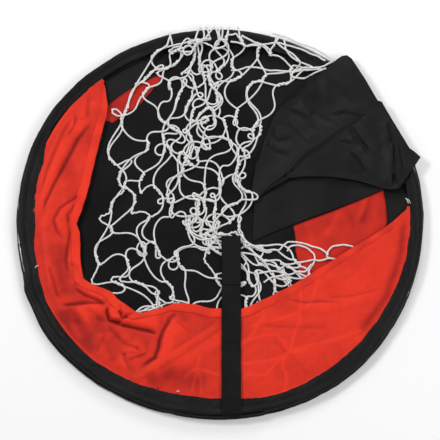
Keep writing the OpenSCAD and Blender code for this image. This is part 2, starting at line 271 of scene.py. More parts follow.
def cloth_finish(name, color, roughness, gloss, weave=0.00042, depth=0.10, rib=0.0, thin=None):
    """Plain-woven polyester: threads over and under, faint wear, painted shade in its creases, and
    painted sheen and fold shade from lit.
    thin is the colour of a see-through cloth where it lies on black."""
    finish = Finish(name, color, roughness, Specular_IOR_Level=gloss, Sheen_Weight=0.03,
                    Sheen_Roughness=0.45)
    cloth = finish.attribute("cloth", "Vector")
    across, along, _ = finish.parts(cloth)
    pace = math.pi / weave
    threads = (across * pace).sine() * (along * pace).sine() * 0.5 + 0.5
    cloudy = finish.noise(cloth, 22.0, 3.0)
    fuzz = finish.noise(cloth, 900.0)
    dip, lit = finish.attribute("dip"), finish.attribute("lit")
    # lit paints sheen on ridges and shade in creases; on a thin cloth it also blends towards its
    # colour on black.
    if thin:
        full = finish.blend_color(lit + 0.3 * (cloudy - 0.5), (*thin, 1), (*color, 1))
    else:
        painted_sheen_and_tone = cloudy * 1.8 - 0.4 + 1.5 * (lit - 0.5)
        full = finish.blend_color(painted_sheen_and_tone.clamped(), toned(color, 0.55), toned(color, 1.75))
    dark = toned(thin or color, 0.35)
    # dip is painted shade, which darkens the colour in the creases.
    crease_shaded_color = finish.blend_color((dip * 0.8).clamped(), full, dark)
    finish.set("Base Color", finish.blend_color(threads * 0.16, crease_shaded_color, dark))
    finish.set("Roughness", roughness + 0.12 * (fuzz - 0.5) + 0.05 * cloudy)
    relief = threads + 0.5 * fuzz
    if rib:
        relief = relief + 1.5 * (along * (2 * math.pi / rib)).sine()
    finish.bump(relief, 0.5, depth * MM)
    return finish.material


black_polyester = cloth_finish("black_polyester", (0.0074, 0.0072, 0.0077), 0.45, 0.14)
tunnel_width, tunnel_height = 9.6, 3.4
base_middle, target_middle = 3.4, 10.5   # heights of the two wires
sleeve_section = [  # lip or tunnel, share of its width, and height over the wire's middle
    ("lip", 0.00, 0.30), ("lip", 0.03, 0.72), ("lip", 0.10, 0.95), ("lip", 0.20, 0.80),
    ("lip", 0.26, 0.98), ("lip", 0.50, 1.06), ("lip", 0.80, 0.98), ("lip", 0.94, 0.82),
    ("tube", 0.03, 1.15), ("tube", 0.14, 2.15), ("tube", 0.28, 2.95), ("tube", 0.45, 3.35),
    ("tube", 0.62, 3.38), ("tube", 0.78, 2.95), ("tube", 0.91, 1.95), ("tube", 0.98, 0.85)]
sleeve_section += [("tube", 1.0, 0.0)] + [(part, share, -height)
                                          for part, share, height in sleeve_section[::-1]]


def polar(radius, turn):
    """x and y at a turn angle in radians."""
    return radius * np.cos(turn), radius * np.sin(turn)


def smoothed(values, width, beyond):
    """Running mean of a line's values, which go on past its ends as np.pad's mode says."""
    soft = np.hanning(width) / np.hanning(width).sum()
    return np.convolve(np.pad(values, width // 2, beyond), soft, "valid")


def sleeve_mesh(name, middle, outer, lip, seed):
    """The folded strip round one hoop: outer and lip give radii at turn angles in degrees."""
    turn = np.linspace(0, 2 * math.pi, 900, endpoint=False)
    degrees, arc = np.degrees(turn), turn * hoop_radius
    far, near = (smoothed(np.interp(degrees, *zip(*given), period=360), 15, "wrap")
                 for given in (outer, lip))

    def uneven(length, more, across=0.0):
        return waves(arc, across + 0 * arc, length, seed + more)

    far = far + 0.35 * uneven(46, 0) + 0.12 * uneven(13, 1)
    near = near + 0.5 * uneven(38, 2) + 0.2 * uneven(12, 3)
    root = far - tunnel_width
    grid = np.zeros((len(turn), len(sleeve_section), 3))
    cloth = np.zeros_like(grid)
    shade, painted_sheen_and_tone = np.zeros(grid.shape[:2]), np.zeros(grid.shape[:2])
    # shade is painted shade in the lip's two grooves and in the pleat.
    for j, (part, share, height) in enumerate(sleeve_section):
        if part == "lip":
            radius = near + share * (root - near)
            pucker = 0.20 * uneven(15, 4, share * 18) * math.sin(
                math.pi * min(1.0, share + 0.06))
            shade[:, j] = 0.5 if share in (0.20, 0.94) else 0.0
        else:
            radius = root + share * (far - root)
            pucker = (0.16 * uneven(19, 5, share * 22)
                      + 0.10 * uneven(60, 6, share * 22)) * abs(height) / tunnel_height
            pleat = np.exp(-((degrees - 312) / 22) ** 2) * math.exp(-((share - 0.45) / 0.13) ** 2)
            pucker = pucker - 0.75 * pleat
            shade[:, j] = 0.5 * pleat if height > 0 else 0.0
        top = 1.0 if height > 0 else 0.25
        z = np.maximum(middle + height + top * pucker, 0.02)
        grid[:, j] = np.stack([*polar(radius, turn), z], -1)
        cloth[:, j, 0] = arc
        cloth[:, j, 1] = 2.0 * (j + 1)
        # Painted sheen and shade of the sleeve: darker round 133 degrees, paler and darker in soft
        # patches.
        painted_sheen_and_tone[:, j] = (0.5 - 0.3 * np.exp(-((degrees - 133) / 16) ** 2)
                       + 0.16 * uneven(44, 7, share * 26) + 0.14 * uneven(12, 8, share * 26))
    return grid_mesh(name, grid, cloth, black_polyester, (True, True), shade, painted_sheen_and_tone)


base_sleeve = sleeve_mesh(
    "base_sleeve", base_middle,
    [(0, 254), (20, 256), (34, 253), (60, 252), (120, 253), (170, 254), (184, 254), (197, 254.5),
     (200, 259.5), (206, 259), (212, 261.5), (222, 261.5), (232, 260), (244, 258), (256, 256.5),
     (270, 255), (288, 256.5), (300, 257), (312, 257), (330, 254), (345, 253)],
    [(0, 235), (90, 235), (180, 236), (220, 240), (270, 236)], 11)
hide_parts("base_hoop_sleeve")
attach(base_sleeve, "base")
target_sleeve = sleeve_mesh(
    "target_sleeve", target_middle,
    [(0, 253), (30, 253), (45, 252), (60, 250), (90, 253), (128, 254.5), (145, 255.5),
     (160, 254.5), (175, 252.5), (182, 253.2), (184, 251.6), (196, 252), (199, 257), (208, 257),
     (216, 258.5), (226, 258), (240, 256.5), (255, 256), (270, 253.5), (285, 254.5), (300, 256),
     (315, 255), (330, 252.5)],
    [(0, 237), (20, 236), (60, 234), (90, 235), (126, 238), (138, 239), (144, 241), (150, 243.5),
     (156, 238), (162, 232.5), (168, 233), (174, 231), (180, 229), (186, 232), (198, 236),
     (204, 239), (210, 241.5), (222, 241.5), (228, 240), (240, 236), (252, 232.5), (258, 231),
     (270, 230.5), (276, 232), (284, 236), (294, 236), (306, 235), (318, 234), (342, 235)], 29)
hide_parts("target_hoop_sleeve")
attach(target_sleeve, "target")

# ---- Sleeve stitching ----------------------------------------------------------------------------
# A row of black lockstitch runs round each sleeve, close to the edge of the lip. The thread is
# polyester, about 0.5 mm thick, and pulls the cloth down a little where it goes through.


def run_along(line):
    """How far along a line each of its points lies."""
    return np.r_[0, np.cumsum(np.linalg.norm(np.diff(line, axis=0), axis=1))]


def places_at(at, run, line):
    """The places on a line at the given distances along it."""
    return np.stack([np.interp(at, run, values) for values in np.transpose(line)], -1)


def stitch_row(name, points, pitch, material, thick=0.5):
    """Little rounded stitches laid end to end along a line of points."""
    run = run_along(points)
    count, shown, sides = max(1, int(run[-1] / pitch)), 0.62, 6
    rings = ((0.0, 0.35), (0.25, 1.0), (0.75, 1.0), (1.0, 0.35))     # share of length, swell
    verts, faces = [], []
    for start in np.arange(count) * run[-1] / count:
        first, last = places_at([start, start + pitch * shown], run, points)
        length = np.linalg.norm(last - first)
        along = (last - first) / length
        side = np.cross(along, (0, 0, 1.0))
        side = side / np.linalg.norm(side)
        base = len(verts)
        for share, swell in rings:
            centre = first + along * length * share + (0, 0, (swell - 1.0) * thick * 0.4)
            for a in range(sides):
                angle = a * math.pi / 3
                verts.append(centre + side * math.cos(angle) * thick / 2 * swell
                             + (0, 0, math.sin(angle) * thick / 2 * swell))
        for k in range(base, len(verts) - sides, sides):
            for a in range(sides):
                b = (a + 1) % sides
                faces.append((k + a, k + b, k + sides + b, k + sides + a))
        faces.append(tuple(range(base + sides - 1, base - 1, -1)))
        faces.append(tuple(range(len(verts) - sides, len(verts))))
    return add_mesh(name, verts, faces, material)


def thread_finish(name, color):
    """Twisted polyester thread with a slight gloss."""
    finish = Finish(name, color, 0.5, Specular_IOR_Level=0.2, Sheen_Weight=0.04)
    lint = finish.noise(finish.node("ShaderNodeTexCoord", {}, {}, "Object"), 2200.0)
    pale = (*[min(1.0, 1.35 * c + 0.004) for c in color], 1)
    finish.set("Base Color", finish.blend_color(lint, (*color, 1), pale))
    finish.set("Roughness", 0.38 + 0.2 * lint)
    return finish.material


black_thread = thread_finish("black_thread", (0.012, 0.012, 0.013))


def points_of(piece):
    """A piece's points, in mm as its grid was."""
    flat = np.zeros(len(piece.data.vertices) * 3)
    piece.data.vertices.foreach_get("co", flat)
    return flat.reshape(-1, 3) / MM


def on_sleeve(sleeve, column, lift):
    """Points along one lengthwise line of a sleeve's mesh, a little above it."""
    line = points_of(sleeve).reshape(-1, len(sleeve_section), 3)[:, column]
    line[:, 2] += lift
    return np.vstack([line, line[:1]])


for stitches, sleeve, body in (("base_sleeve_stitching", base_sleeve, "base"),
                               ("target_sleeve_stitching", target_sleeve, "target")):
    row = stitch_row(stitches, on_sleeve(sleeve, 3, lift=0.05), 3.4, black_thread)
    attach(row, body)

# ---- Base floor ----------------------------------------------------------------------------------
# The base is a red polyester disc sewn on a black border of the same cloth, the border's outer
# edge held in the base sleeve's seam. Both lie nearly flat, with a few soft ripples.


def ring_grid(inner, outer, rows, columns):
    """x and y of a flat ring or disc."""
    turn = np.linspace(0, 2 * math.pi, columns, endpoint=False)
    return polar(np.linspace(inner, outer, rows), turn[:, None])


def thicken(piece, thickness, offset=-1.0):
    """Gives a cloth its thickness, below its mesh, or half on each side where offset is 0."""
    solid = piece.modifiers.new("cloth_thickness", "SOLIDIFY")
    solid.thickness = thickness * MM
    solid.offset = offset
    solid.use_even_offset = False


def flat_cloth(name, x, y, height, material, thickness, around=(False, False), shade=0.0,
               lit=0.5):
    """A nearly flat cloth over x and y, thickened downwards."""
    piece = grid_mesh(name, np.stack([x, y, height], -1), np.stack([x, y, 0 * x], -1), material,
                      around, shade, lit)
    thicken(piece, thickness)
    return piece


def ease(t):
    """From 0 to 1 with soft ends."""
    t = np.clip(t, 0, 1)
    return t * t * (3 - 2 * t)


def from_line(x, y, line):
    """Signed distance from a line of points, and how far along it, from 0 to 1."""
    line = np.asarray(line, float)
    lengths = np.linalg.norm(np.diff(line, axis=0), axis=1)
    best, side, along = np.full(x.shape, 1e9), np.zeros(x.shape), np.zeros(x.shape)
    for k, (a, b) in enumerate(zip(line[:-1], line[1:])):
        run = (b - a) / lengths[k]
        t = (x - a[0]) * run[0] + (y - a[1]) * run[1]
        held = np.clip(t, 0, lengths[k])
        dx, dy = x - a[0] - held * run[0], y - a[1] - held * run[1]
        away = np.hypot(dx, dy)
        closer = away < best
        best = np.where(closer, away, best)
        side = np.where(closer, np.sign(run[0] * dy - run[1] * dx + 1e-9), side)
        along = np.where(closer, (lengths[:k].sum() + held) / lengths.sum(), along)
    return best * side, along


def painted_streaks(x, y, rows):
    """Paler and darker stripes of painted sheen and shade: each is a line, its strength and half
    width.
    """
    total = 0.0 * x
    for line, strength, width in rows:
        away, along = from_line(x, y, line)
        total = total + strength * (ease(along / 0.15) * ease((1 - along) / 0.15)
                                    * np.exp(-(away / width) ** 2))
    return total


# Stripes of painted sheen and shade on the right of the red disc.
disc_painted_sheen_and_shade = [  # line, strength, half width
    ([(193, 42), (184, 20), (176, -6)], -0.3, 3.0), ([(156, 20), (163, 4), (168, -12)], -0.2, 2.4),
    ([(182, 36), (178, 18), (170, 0)], 0.25, 3.0), ([(150, 14), (140, -6), (128, -20)], 0.2, 3.5),
    ([(104, 10), (112, -16), (116, -40)], 0.15, 3.0), ([(196, 20), (190, 4)], 0.2, 3.0)]

border_inner, seam_radius, disc_radius, border_outer = 200, 204.5, 208, 243
border_top, disc_top, panel_cloth = 3.62, 4.28, 0.5
x, y = ring_grid(border_inner, border_outer, 8, 360)
base_border = flat_cloth("base_border", x, y, border_top + 0.06 * waves(x, y, 60, 3),
                         black_polyester, panel_cloth, (True, False))
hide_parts("base_border_panel")
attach(base_border, "base")

red_polyester = cloth_finish("red_polyester", (0.95, 0.045, 0.019), 0.5, 0.12,
                             thin=(0.34, 0.011, 0.009))
x, y = ring_grid(0.5, disc_radius, 60, 300)
height = disc_top - 0.12 * ease((np.hypot(x, y) - border_inner) / 8)
# Painted shade: the disc is darker than the face and darker still left of x = -40, with painted
# stripes and a little random unevenness.
lit = (0.4 + 0.07 * waves(x, y, 30, 5) - 0.15 * ease((-40 - x) / 20)
       + painted_streaks(x, y, disc_painted_sheen_and_shade))
red_disc = flat_cloth("base_red_disc", x, y, height, red_polyester, panel_cloth, (True, False),
                      lit=lit)
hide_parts("base_red_panel")
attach(red_disc, "base")

red_thread = thread_finish("red_thread", (0.5, 0.03, 0.02))
turn = np.linspace(0, 2 * math.pi, 721)
seam = np.stack([*polar(seam_radius, turn), disc_top + 0.02 + 0 * turn], -1)
row = stitch_row("red_disc_stitching", seam, 3.2, red_thread, 0.45)
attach(row, "base")

# ---- Floor apron ---------------------------------------------------------------------------------
# A loose black polyester sheet lies on the red disc under the net, cut away along a straight edge
# on the right and at the upper left. It is slack, so it lies in low soft ripples.

apron_top = 5.05                         # where it lies pressed on the red disc
apron_edge = [  # turn angle in degrees, and the radius that the sheet reaches there
    (-68, 243), (-60, 188), (-50, 149), (-39.5, 125.5), (-22, 101), (-3.2, 91.3), (-2.2, 93),
    (4, 118), (8, 144), (11.5, 204), (14, 243), (101, 243), (105, 240), (111, 203), (117, 192),
    (123, 184), (131, 185), (136, 187), (137.5, 198), (141, 240), (146, 243)]


def apron_height(x, y):
    """Top of the apron: slack in the middle, flat where the gussets and the rim press it."""
    radius = np.hypot(x, y)
    free = ease((205 - radius) / 40) * ease((32 - 0.75 * x + 0.3 * np.abs(y)) / 30)
    fine = waves(x, y, 85, 41) + 0.45 * waves(x, y, 34, 42)
    return apron_top + free * np.clip(0.9 + 0.9 * fine, 0, 2.6)


# Broad bands of painted sheen and shade on the apron.
apron_painted_sheen_and_shade = [  # line, strength, half width
    ([(20, 260), (48, 222), (62, 188), (80, 130), (90, 90)], 0.8, 40),
    ([(20, 190), (14, 130), (12, 80), (4, 20)], -0.5, 30),
    ([(-210, 90), (-180, 30), (-150, -30), (-120, -90), (-80, -130)], -0.45, 38),
    ([(40, -10), (58, -50), (66, -85), (60, -120)], 0.4, 22)]
turn = np.radians(np.linspace(0, 360, 720, endpoint=False))
reach = np.interp(np.degrees(turn), *zip(*apron_edge), period=360)
share = np.linspace(0, 1, 90)[:, None]
x, y = polar(share * reach, turn)
# The apron's polyester is given a darker colour, painted shade for the floor under the net, and a
# rougher, less glossy finish.
painted_shade_matte_black = cloth_finish("painted_shade_matte_black", (0.0042, 0.004, 0.0041), 0.55, 0.1)
apron = flat_cloth("floor_apron_cloth", x, y, apron_height(x, y), painted_shade_matte_black, panel_cloth,
                   (False, True), lit=0.5 + painted_streaks(x, y, apron_painted_sheen_and_shade))
apron.data.flip_normals()
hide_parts("floor_apron")
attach(apron, "base")

# ---- Gussets -------------------------------------------------------------------------------------
# Black polyester walls close the two sides between the hoops. Each is one sheet, sewn to both
# sleeves, that folds inwards on itself when the hoops are closed: a lower leaf, a fold, an upper.

lower_leaf, leaf_fold, upper_leaf = 5.62, 6.05, 6.5      # heights of the folded sheet's parts
sewn_radius, left_fold_radius = 242, 182


def gusset_mesh(name, fold_line, rim, seed):
    """A leaf from the rim to the fold and one back over it; both lines are points from above."""
    rows, columns = 48, 160              # rows of each leaf
    fold_line, rim = (places_at(np.linspace(0, run_along(line)[-1], columns), run_along(line),
                                line) for line in (fold_line, rim))
    grid = np.zeros((2 * rows + 1, columns, 3))
    for i in range(2 * rows + 1):
        share = (i - rows) / rows if i > rows else 1 - i / rows
        x, y = (fold_line + (rim - fold_line) * share).T
        if i > rows:
            soft = 0.9 * waves(x, y, 70, seed) + 0.35 * waves(x, y, 26, seed + 1)
            z = upper_leaf + 0.5 * ease(share * 12) + 2.5 * ease((share - 0.55) / 0.4)
            z = z + ease(share / 0.15) * ease((1 - share) / 0.2) * np.clip(0.8 + soft, 0, 2.4)
        else:
            z = lower_leaf + 0.25 * ease(1 - share * 12) + 0 * x
        grid[i] = np.stack([x, y, z], -1)
    outward = fold_line - rim
    grid[rows, :, :2] += outward / np.linalg.norm(outward, axis=1)[:, None] * 0.4
    grid[rows, :, 2] = leaf_fold
    cloth = np.zeros_like(grid)
    cloth[:, :, 0] = np.linspace(0, np.linalg.norm(np.diff(fold_line, axis=0), axis=1).sum(),
                                 columns)
    steps = np.linalg.norm(np.diff(grid, axis=0), axis=2).mean(1)
    cloth[:, :, 1] = np.r_[0, np.cumsum(steps)][:, None]
    piece = grid_mesh(name, grid, cloth, black_polyester)
    thicken(piece, 0.4, 0.0)
    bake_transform(piece)
    weight = np.repeat(ease(np.arange(2 * rows + 1) / (2 * rows)), columns)
    return piece


def on_circle(radius, first, last):
    """Points on a circle between two turn angles in degrees."""
    return np.stack(polar(radius, np.radians(np.linspace(first, last, 60))), -1)


left_gusset = gusset_mesh("left_gusset_wall", on_circle(left_fold_radius, 143, 261),
                          on_circle(sewn_radius, 143, 261), 51)
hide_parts("left_gusset")
right_gusset = gusset_mesh(
    "right_gusset_wall",
    [(41, -27), (60, -18), (84, -8.5), (110, 2), (140, 13.5), (172, 27), (202, 40)],
    np.vstack([[(44, 74), (121, 205)], on_circle(240, 59, 12)]), 57)
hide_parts("right_gusset")

# ---- Target face ---------------------------------------------------------------------------------
# The red polyester face is a slack crescent sewn into the target sleeve. Its cloth is thin satin,
# creased along its left limb and bunched in a knot of folds at the lower left.


def with_folds(z, x, y, folds, rise_by=1.0, dip_by=1.0, crease_by=1.0, held=1.0):
    """Adds soft ridges along lines, each with a sharp crease at its foot. A ridge lies on its
    line's left, where lean widens it, and both its ends run out into the cloth."""
    for line, rise, width, dip, crease, lean in folds:
        away, along = from_line(x, y, line)
        ends = ease(along / 0.22) * ease((1 - along) / 0.22)
        ends = ends * np.exp(-(np.maximum(0, np.abs(away) - 6 * width) / width) ** 2)
        off_ridge = away - width * 0.9
        broad = np.where(off_ridge > 0, width * lean, width * 0.75)
        z = z + held * (ends * (rise_by * rise * np.exp(-(off_ridge / broad) ** 2)
                                - dip_by * dip * np.exp(-(away / (crease_by * crease)) ** 2)))
    return z


opening = [(-147, 186), (-144, 171), (-141, 151), (-143, 135), (-148, 115), (-153, 93), (-158, 71),
           (-163, 47), (-168, 27), (-173, 10), (-176, 3), (-179, -6), (-175, -17), (-174, -33),
           (-174, -50), (-172, -66), (-170, -77), (-160, -84), (-144, -90), (-134, -95),
           (-128, -103), (-116, -112), (-101, -123), (-83, -118), (-66, -113), (-57, -109),
           (-45, -109), (-29, -111), (-12, -116), (0, -116), (26, -117), (52, -105), (73, -94),
           (97, -81), (122, -64), (148, -47), (167, -35), (191, -20), (217, -1), (237, 19)]
face_first, face_last = 128.4, 364.4     # turn angles of the face's two ends, in degrees
face_seam_radius, face_top, face_lowest = 236, 11.0, 10.6
opening_turn = np.degrees(np.unwrap([math.atan2(y, x) for x, y in opening], period=2 * math.pi))
opening_turn = opening_turn - 360 * round((opening_turn[0] - 128) / 360)
opening_reach = [math.hypot(x, y) for x, y in opening]

face_folds = [  # line, rise, width, dip, crease, lean
    ([(-222, -4), (-218, 21), (-208, 45), (-192, 76), (-177, 107), (-154, 138)],
     2.8, 9, 1.7, 2.8, 1.5),
    ([(-227, 27), (-217, 64), (-209, 86), (-197, 116), (-180, 144)], 1.6, 6, 1.1, 2.4, 1.2),
    ([(-192, 108), (-183, 123), (-180, 141)], 1.4, 5, 1.0, 2.2, 1.2),
    ([(-167, 130), (-166, 150), (-164, 170)], 1.4, 7, 0.7, 3.6, 1.2),
    ([(-165, 46), (-180, 21), (-190, 5), (-187, -16), (-192, -53), (-187, -81)],
     2.0, 6, 1.3, 2.4, 1.5),
    ([(-163, 40), (-183, 27), (-200, 15), (-208, -1), (-203, -16), (-192, -29)],
     1.6, 6, 1.1, 2.4, 1.3),
    ([(-214, -56), (-203, -96), (-197, -106)], 1.2, 5, 0.9, 2.2, 1.2),
    ([(-187, -56), (-177, -66), (-175, -81)], 1.2, 4, 1.0, 2.0, 1.2),
    ([(-187, -149), (-196, -129), (-203, -110), (-215, -88), (-222, -33), (-221, 3)],
     -1.6, 9, 0.5, 3.0, 1.4),
    ([(-139.5, -111), (-151, -108), (-164, -108), (-182, -110), (-200, -111)],
     3.0, 8, 1.8, 2.6, 1.7),
    ([(-183, -88), (-167, -99), (-152, -105), (-139.5, -111)], 1.8, 5, 1.2, 2.2, 1.0),
    ([(-139.5, -111), (-140, -122), (-137, -131), (-127, -134), (-118, -132)],
     4.2, 6, 2.2, 2.3, 1.3),
    ([(-127, -106), (-124, -120), (-121, -129), (-104, -123)], 3.2, 5, 2.0, 2.2, 1.2),
    ([(-136, -132), (-120, -138), (-105, -141), (-88, -145), (-74, -149)],
     3.4, 9, 1.9, 2.6, 1.8),
    ([(-50, -117), (-62, -128), (-71, -145), (-75, -157), (-77, -169), (-81, -179), (-91, -186),
      (-101, -194)], 3.8, 9, 2.3, 2.8, 1.9),
    ([(-120, -168), (-117, -183), (-110, -197)], 0.7, 7, 0.3, 2.6, 1.3),
    ([(-121, -176), (-112, -173.5), (-102, -173)], 0.7, 5, 0.5, 2.2, 1.2),
    ([(-116, -184), (-103, -178), (-88, -173)], 0.8, 5, 0.6, 2.2, 1.3),
    ([(-154, -174), (-147, -160), (-140, -147)], 1.0, 6, 0.3, 2.4, 1.1),
    ([(-141, -135), (-130, -148), (-118, -161), (-91, -172)], 1.3, 7, 0.4, 2.6, 1.2),
    ([(-168, -111), (-155, -124), (-142, -135)], 0.8, 7, 0.5, 3.6, 1.2),
    ([(-192, -112), (-181, -124), (-170, -140)], 0.8, 7, 0.4, 3.2, 1.2),
    ([(-194, -128), (-186, -145), (-178, -161)], 0.8, 5, 0.7, 2.2, 1.2),
    ([(-129, -186), (-139, -170), (-140, -155)], 0.6, 8, 0.3, 3.4, 1.2),
    ([(60, -150), (100, -190), (112, -210)], 0.9, 11, 0.2, 3.0, 1.3),
    ([(154, -109), (126, -106), (106, -108), (77, -102)], 1.1, 8, 0.6, 2.6, 0.8),
    ([(202, -90), (165, -99), (126, -103)], 0.8, 8, 0.3, 2.6, 0.8),
    ([(40, -135), (90, -140), (138, -139)], 0.8, 10, 0.3, 3.4, 1.3)]
face_seam = [(-102, -204), (-60, -176), (-17, -147), (4, -131)]
# Stripes of painted sheen on the face's ridges and painted shade in its creases and hollows.
face_painted_sheen_and_shade = [  # line, strength, half width
    ([(-205, 60), (-217, 20), (-220, -10), (-216, -50), (-204, -92)], 0.22, 5),
    ([(-197, -26), (-200, -62), (-192, -104)], -0.42, 11), ([(-158, 160), (-160, 120)], 0.2, 6),
    ([(-178, 112), (-192, 88), (-206, 56)], -0.15, 4), ([(-170, 90), (-176, 60)], 0.14, 10),
    ([(-177, -112), (-160, -138)], 0.3, 3.4), ([(-184, -132), (-170, -156)], 0.3, 3.6),
    ([(-196, -112), (-176, -140), (-152, -172)], -0.5, 15),
    ([(-150, -122), (-146, -150)], -0.25, 10), ([(-150, -118), (-146, -134)], -0.2, 7),
    ([(-136, -150), (-128, -184)], -0.25, 7), ([(-110, -148), (-84, -160)], -0.2, 8),
    ([(-60, -138), (-63, -160), (-70, -182)], 0.3, 6), ([(-126, -175), (-115, -194)], 0.28, 3),
    ([(-96, -212), (-60, -203), (-12, -212)], -0.4, 13), ([(-20, -130), (0, -140)], -0.12, 14),
    ([(-102, -204), (-60, -176), (-17, -147), (6, -130)], 0.22, 4.2),
    ([(-105, -198), (-62, -171), (-19, -142), (3, -124)], -0.2, 1.5),
    ([(-96, -208), (-56, -182), (-14, -153), (8, -136)], -0.2, 1.5),
    ([(-60, -191), (-30, -171), (8, -148)], 0.25, 7),
    ([(40, -105), (74, -112), (110, -114)], -0.16, 10),
    ([(168, -154), (206, -100), (225, -42), (230, 10)], -0.55, 5),
    ([(60, -196), (100, -196), (140, -180)], -0.12, 14), ([(120, -120), (190, -90)], 0.12, 20)]


def face_height(x, y):
    """Top of the face's cloth; flat and low only where the seam holds it."""
    radius = np.hypot(x, y)
    slack = ease((face_seam_radius - radius) / 16)
    bunch = 0.5 * np.exp(-(((x + 118) / 62) ** 2 + ((y + 145) / 48) ** 2))
    limb = np.exp(-(((x + 196) / 40) ** 2 + ((y - 60) / 110) ** 2))
    z = face_top + slack * (0.5 + 1.4 * bunch + 0.8 * limb
                            + (0.28 + 0.3 * bunch) * waves(x, y, 62, 71)
                            + (0.10 + 0.22 * bunch) * waves(x, y, 21, 72))
    z = with_folds(z, x, y, face_folds, held=slack)
    z = z + 0.4 * ease((3 - x) / 6) * np.exp(-(from_line(x, y, face_seam)[0] / 4.6) ** 4)
    return np.maximum(z, face_lowest + 0.15 * waves(x, y, 30, 73))


def polar_sheet(first, last, columns, shares, inner, outer):
    """x and y of a sheet between two radii given at every turn angle, rows from inner to outer."""
    turn = np.linspace(first, last, columns)
    low, high = inner(turn), outer(turn)
    radius = low + np.asarray(shares)[:, None] * (high - low)
    return polar(radius, np.radians(turn))


def opening_radius(turn):
    """Radius of the face's free edge, short of the sleeve's lip."""
    return np.minimum(np.interp(turn, opening_turn, opening_reach), 233.5)


def painted_crease_shade(height):
    """How far each point lies below the cloth round it, from 0 to 1, for painted shade in the
    creases.
    """
    blurred = height.copy()
    for _ in range(7):
        padded = np.pad(blurred, 1, mode="edge")
        blurred = (padded[:-2, 1:-1] + padded[2:, 1:-1] + padded[1:-1, :-2] + padded[1:-1, 2:]
                   + 2 * padded[1:-1, 1:-1]) / 6
    return np.clip((blurred - height) * 2.2, 0, 1)


shares = np.linspace(0, 1, 84)
x, y = polar_sheet(face_first, face_last, 820, shares, opening_radius,
                   lambda turn: 240 + 0 * turn)
height = face_height(x, y)
right = ease((x - 22) / 10)
raised = ease((height - 11.6) / 2.6)
patch = waves(x, y, 48, 75)
# lit of the thin face: paler on the right, where the cloth rises on the left and by the seam,
# darker in random patches; the listed stripes add painted sheen and shade.
lit = (0.66 + 0.14 * right + 0.16 * (1 - right) * raised
       - (0.2 - 0.12 * right) * ease(patch - 0.1) + 0.035 * waves(x, y, 13, 76)
       + 0.25 * ease((shares[:, None] * 70 - 66) / 3) + painted_streaks(x, y, face_painted_sheen_and_shade))
# The folds are painted in as well: a paler ridge, painted sheen, and a darker crease, painted
# shade.
lit = with_folds(lit, x, y, face_folds, rise_by=0.05, dip_by=0.24)
face = flat_cloth("target_face_cloth", x, y, height, red_polyester, 0.45,
                  shade=painted_crease_shade(height), lit=np.clip(lit, 0.05, 1.1))
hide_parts("target_face_panel")
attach(face, "target")

# ---- Opening hem ---------------------------------------------------------------------------------
# The face's free edge is turned under twice and sewn down, a double band 11 mm wide that is
# stiffer and brighter than the single cloth, with a row of red stitches along its outer side.

widest_hem, hem_lift = 11.0, 0.75


def hem_width(turn):
    """The hem's width, which narrows where the edge runs into the sleeve."""
    return np.clip((235 - opening_radius(turn)) * 0.4, 1.0, widest_hem)


x, y = polar_sheet(129.2, 362.5, 760, np.linspace(0, 1, 9), lambda t: opening_radius(t) - 0.6,
                   lambda t: opening_radius(t) + hem_width(t))
height = face_height(x, y) + hem_lift - 0.4 * ease((x - 20) / 60) + 0.12 * waves(x, y, 14, 81)
height[0] -= 0.35
height[-1] -= 0.45
hem = flat_cloth("opening_hem_band", x, y, height, red_polyester, 0.5,
                 lit=0.88 + 0.12 * waves(x, y, 30, 82) - 0.12 * ease((x - 20) / 60))
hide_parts("target_opening_hem")
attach(hem, "target")
stitch_lines = {"opening_hem_stitching": np.stack([x[6], y[6], height[6] + 0.05], -1)}
seam_x, seam_y = places_at(np.linspace(0, 2.8, 132), range(4), face_seam).T
for name, shift in (("face_seam_stitching_upper", 2.6), ("face_seam_stitching_lower", -2.6)):
    x, y = seam_x - 0.54 * shift, seam_y + 0.84 * shift
    stitch_lines[name] = np.stack([x, y, face_height(x, y) + 0.05], -1)
for name, line in stitch_lines.items():
    row = stitch_row(name, line, 3.0, red_thread, 0.45)
    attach(row, "target")

# ---- Rear flap -----------------------------------------------------------------------------------
# A wide black polyester flap is sewn to the back of the target hoop and folded in over the rim.
# One sharp diagonal crease crosses it, and its curved inner edge has a double-stitched hem.

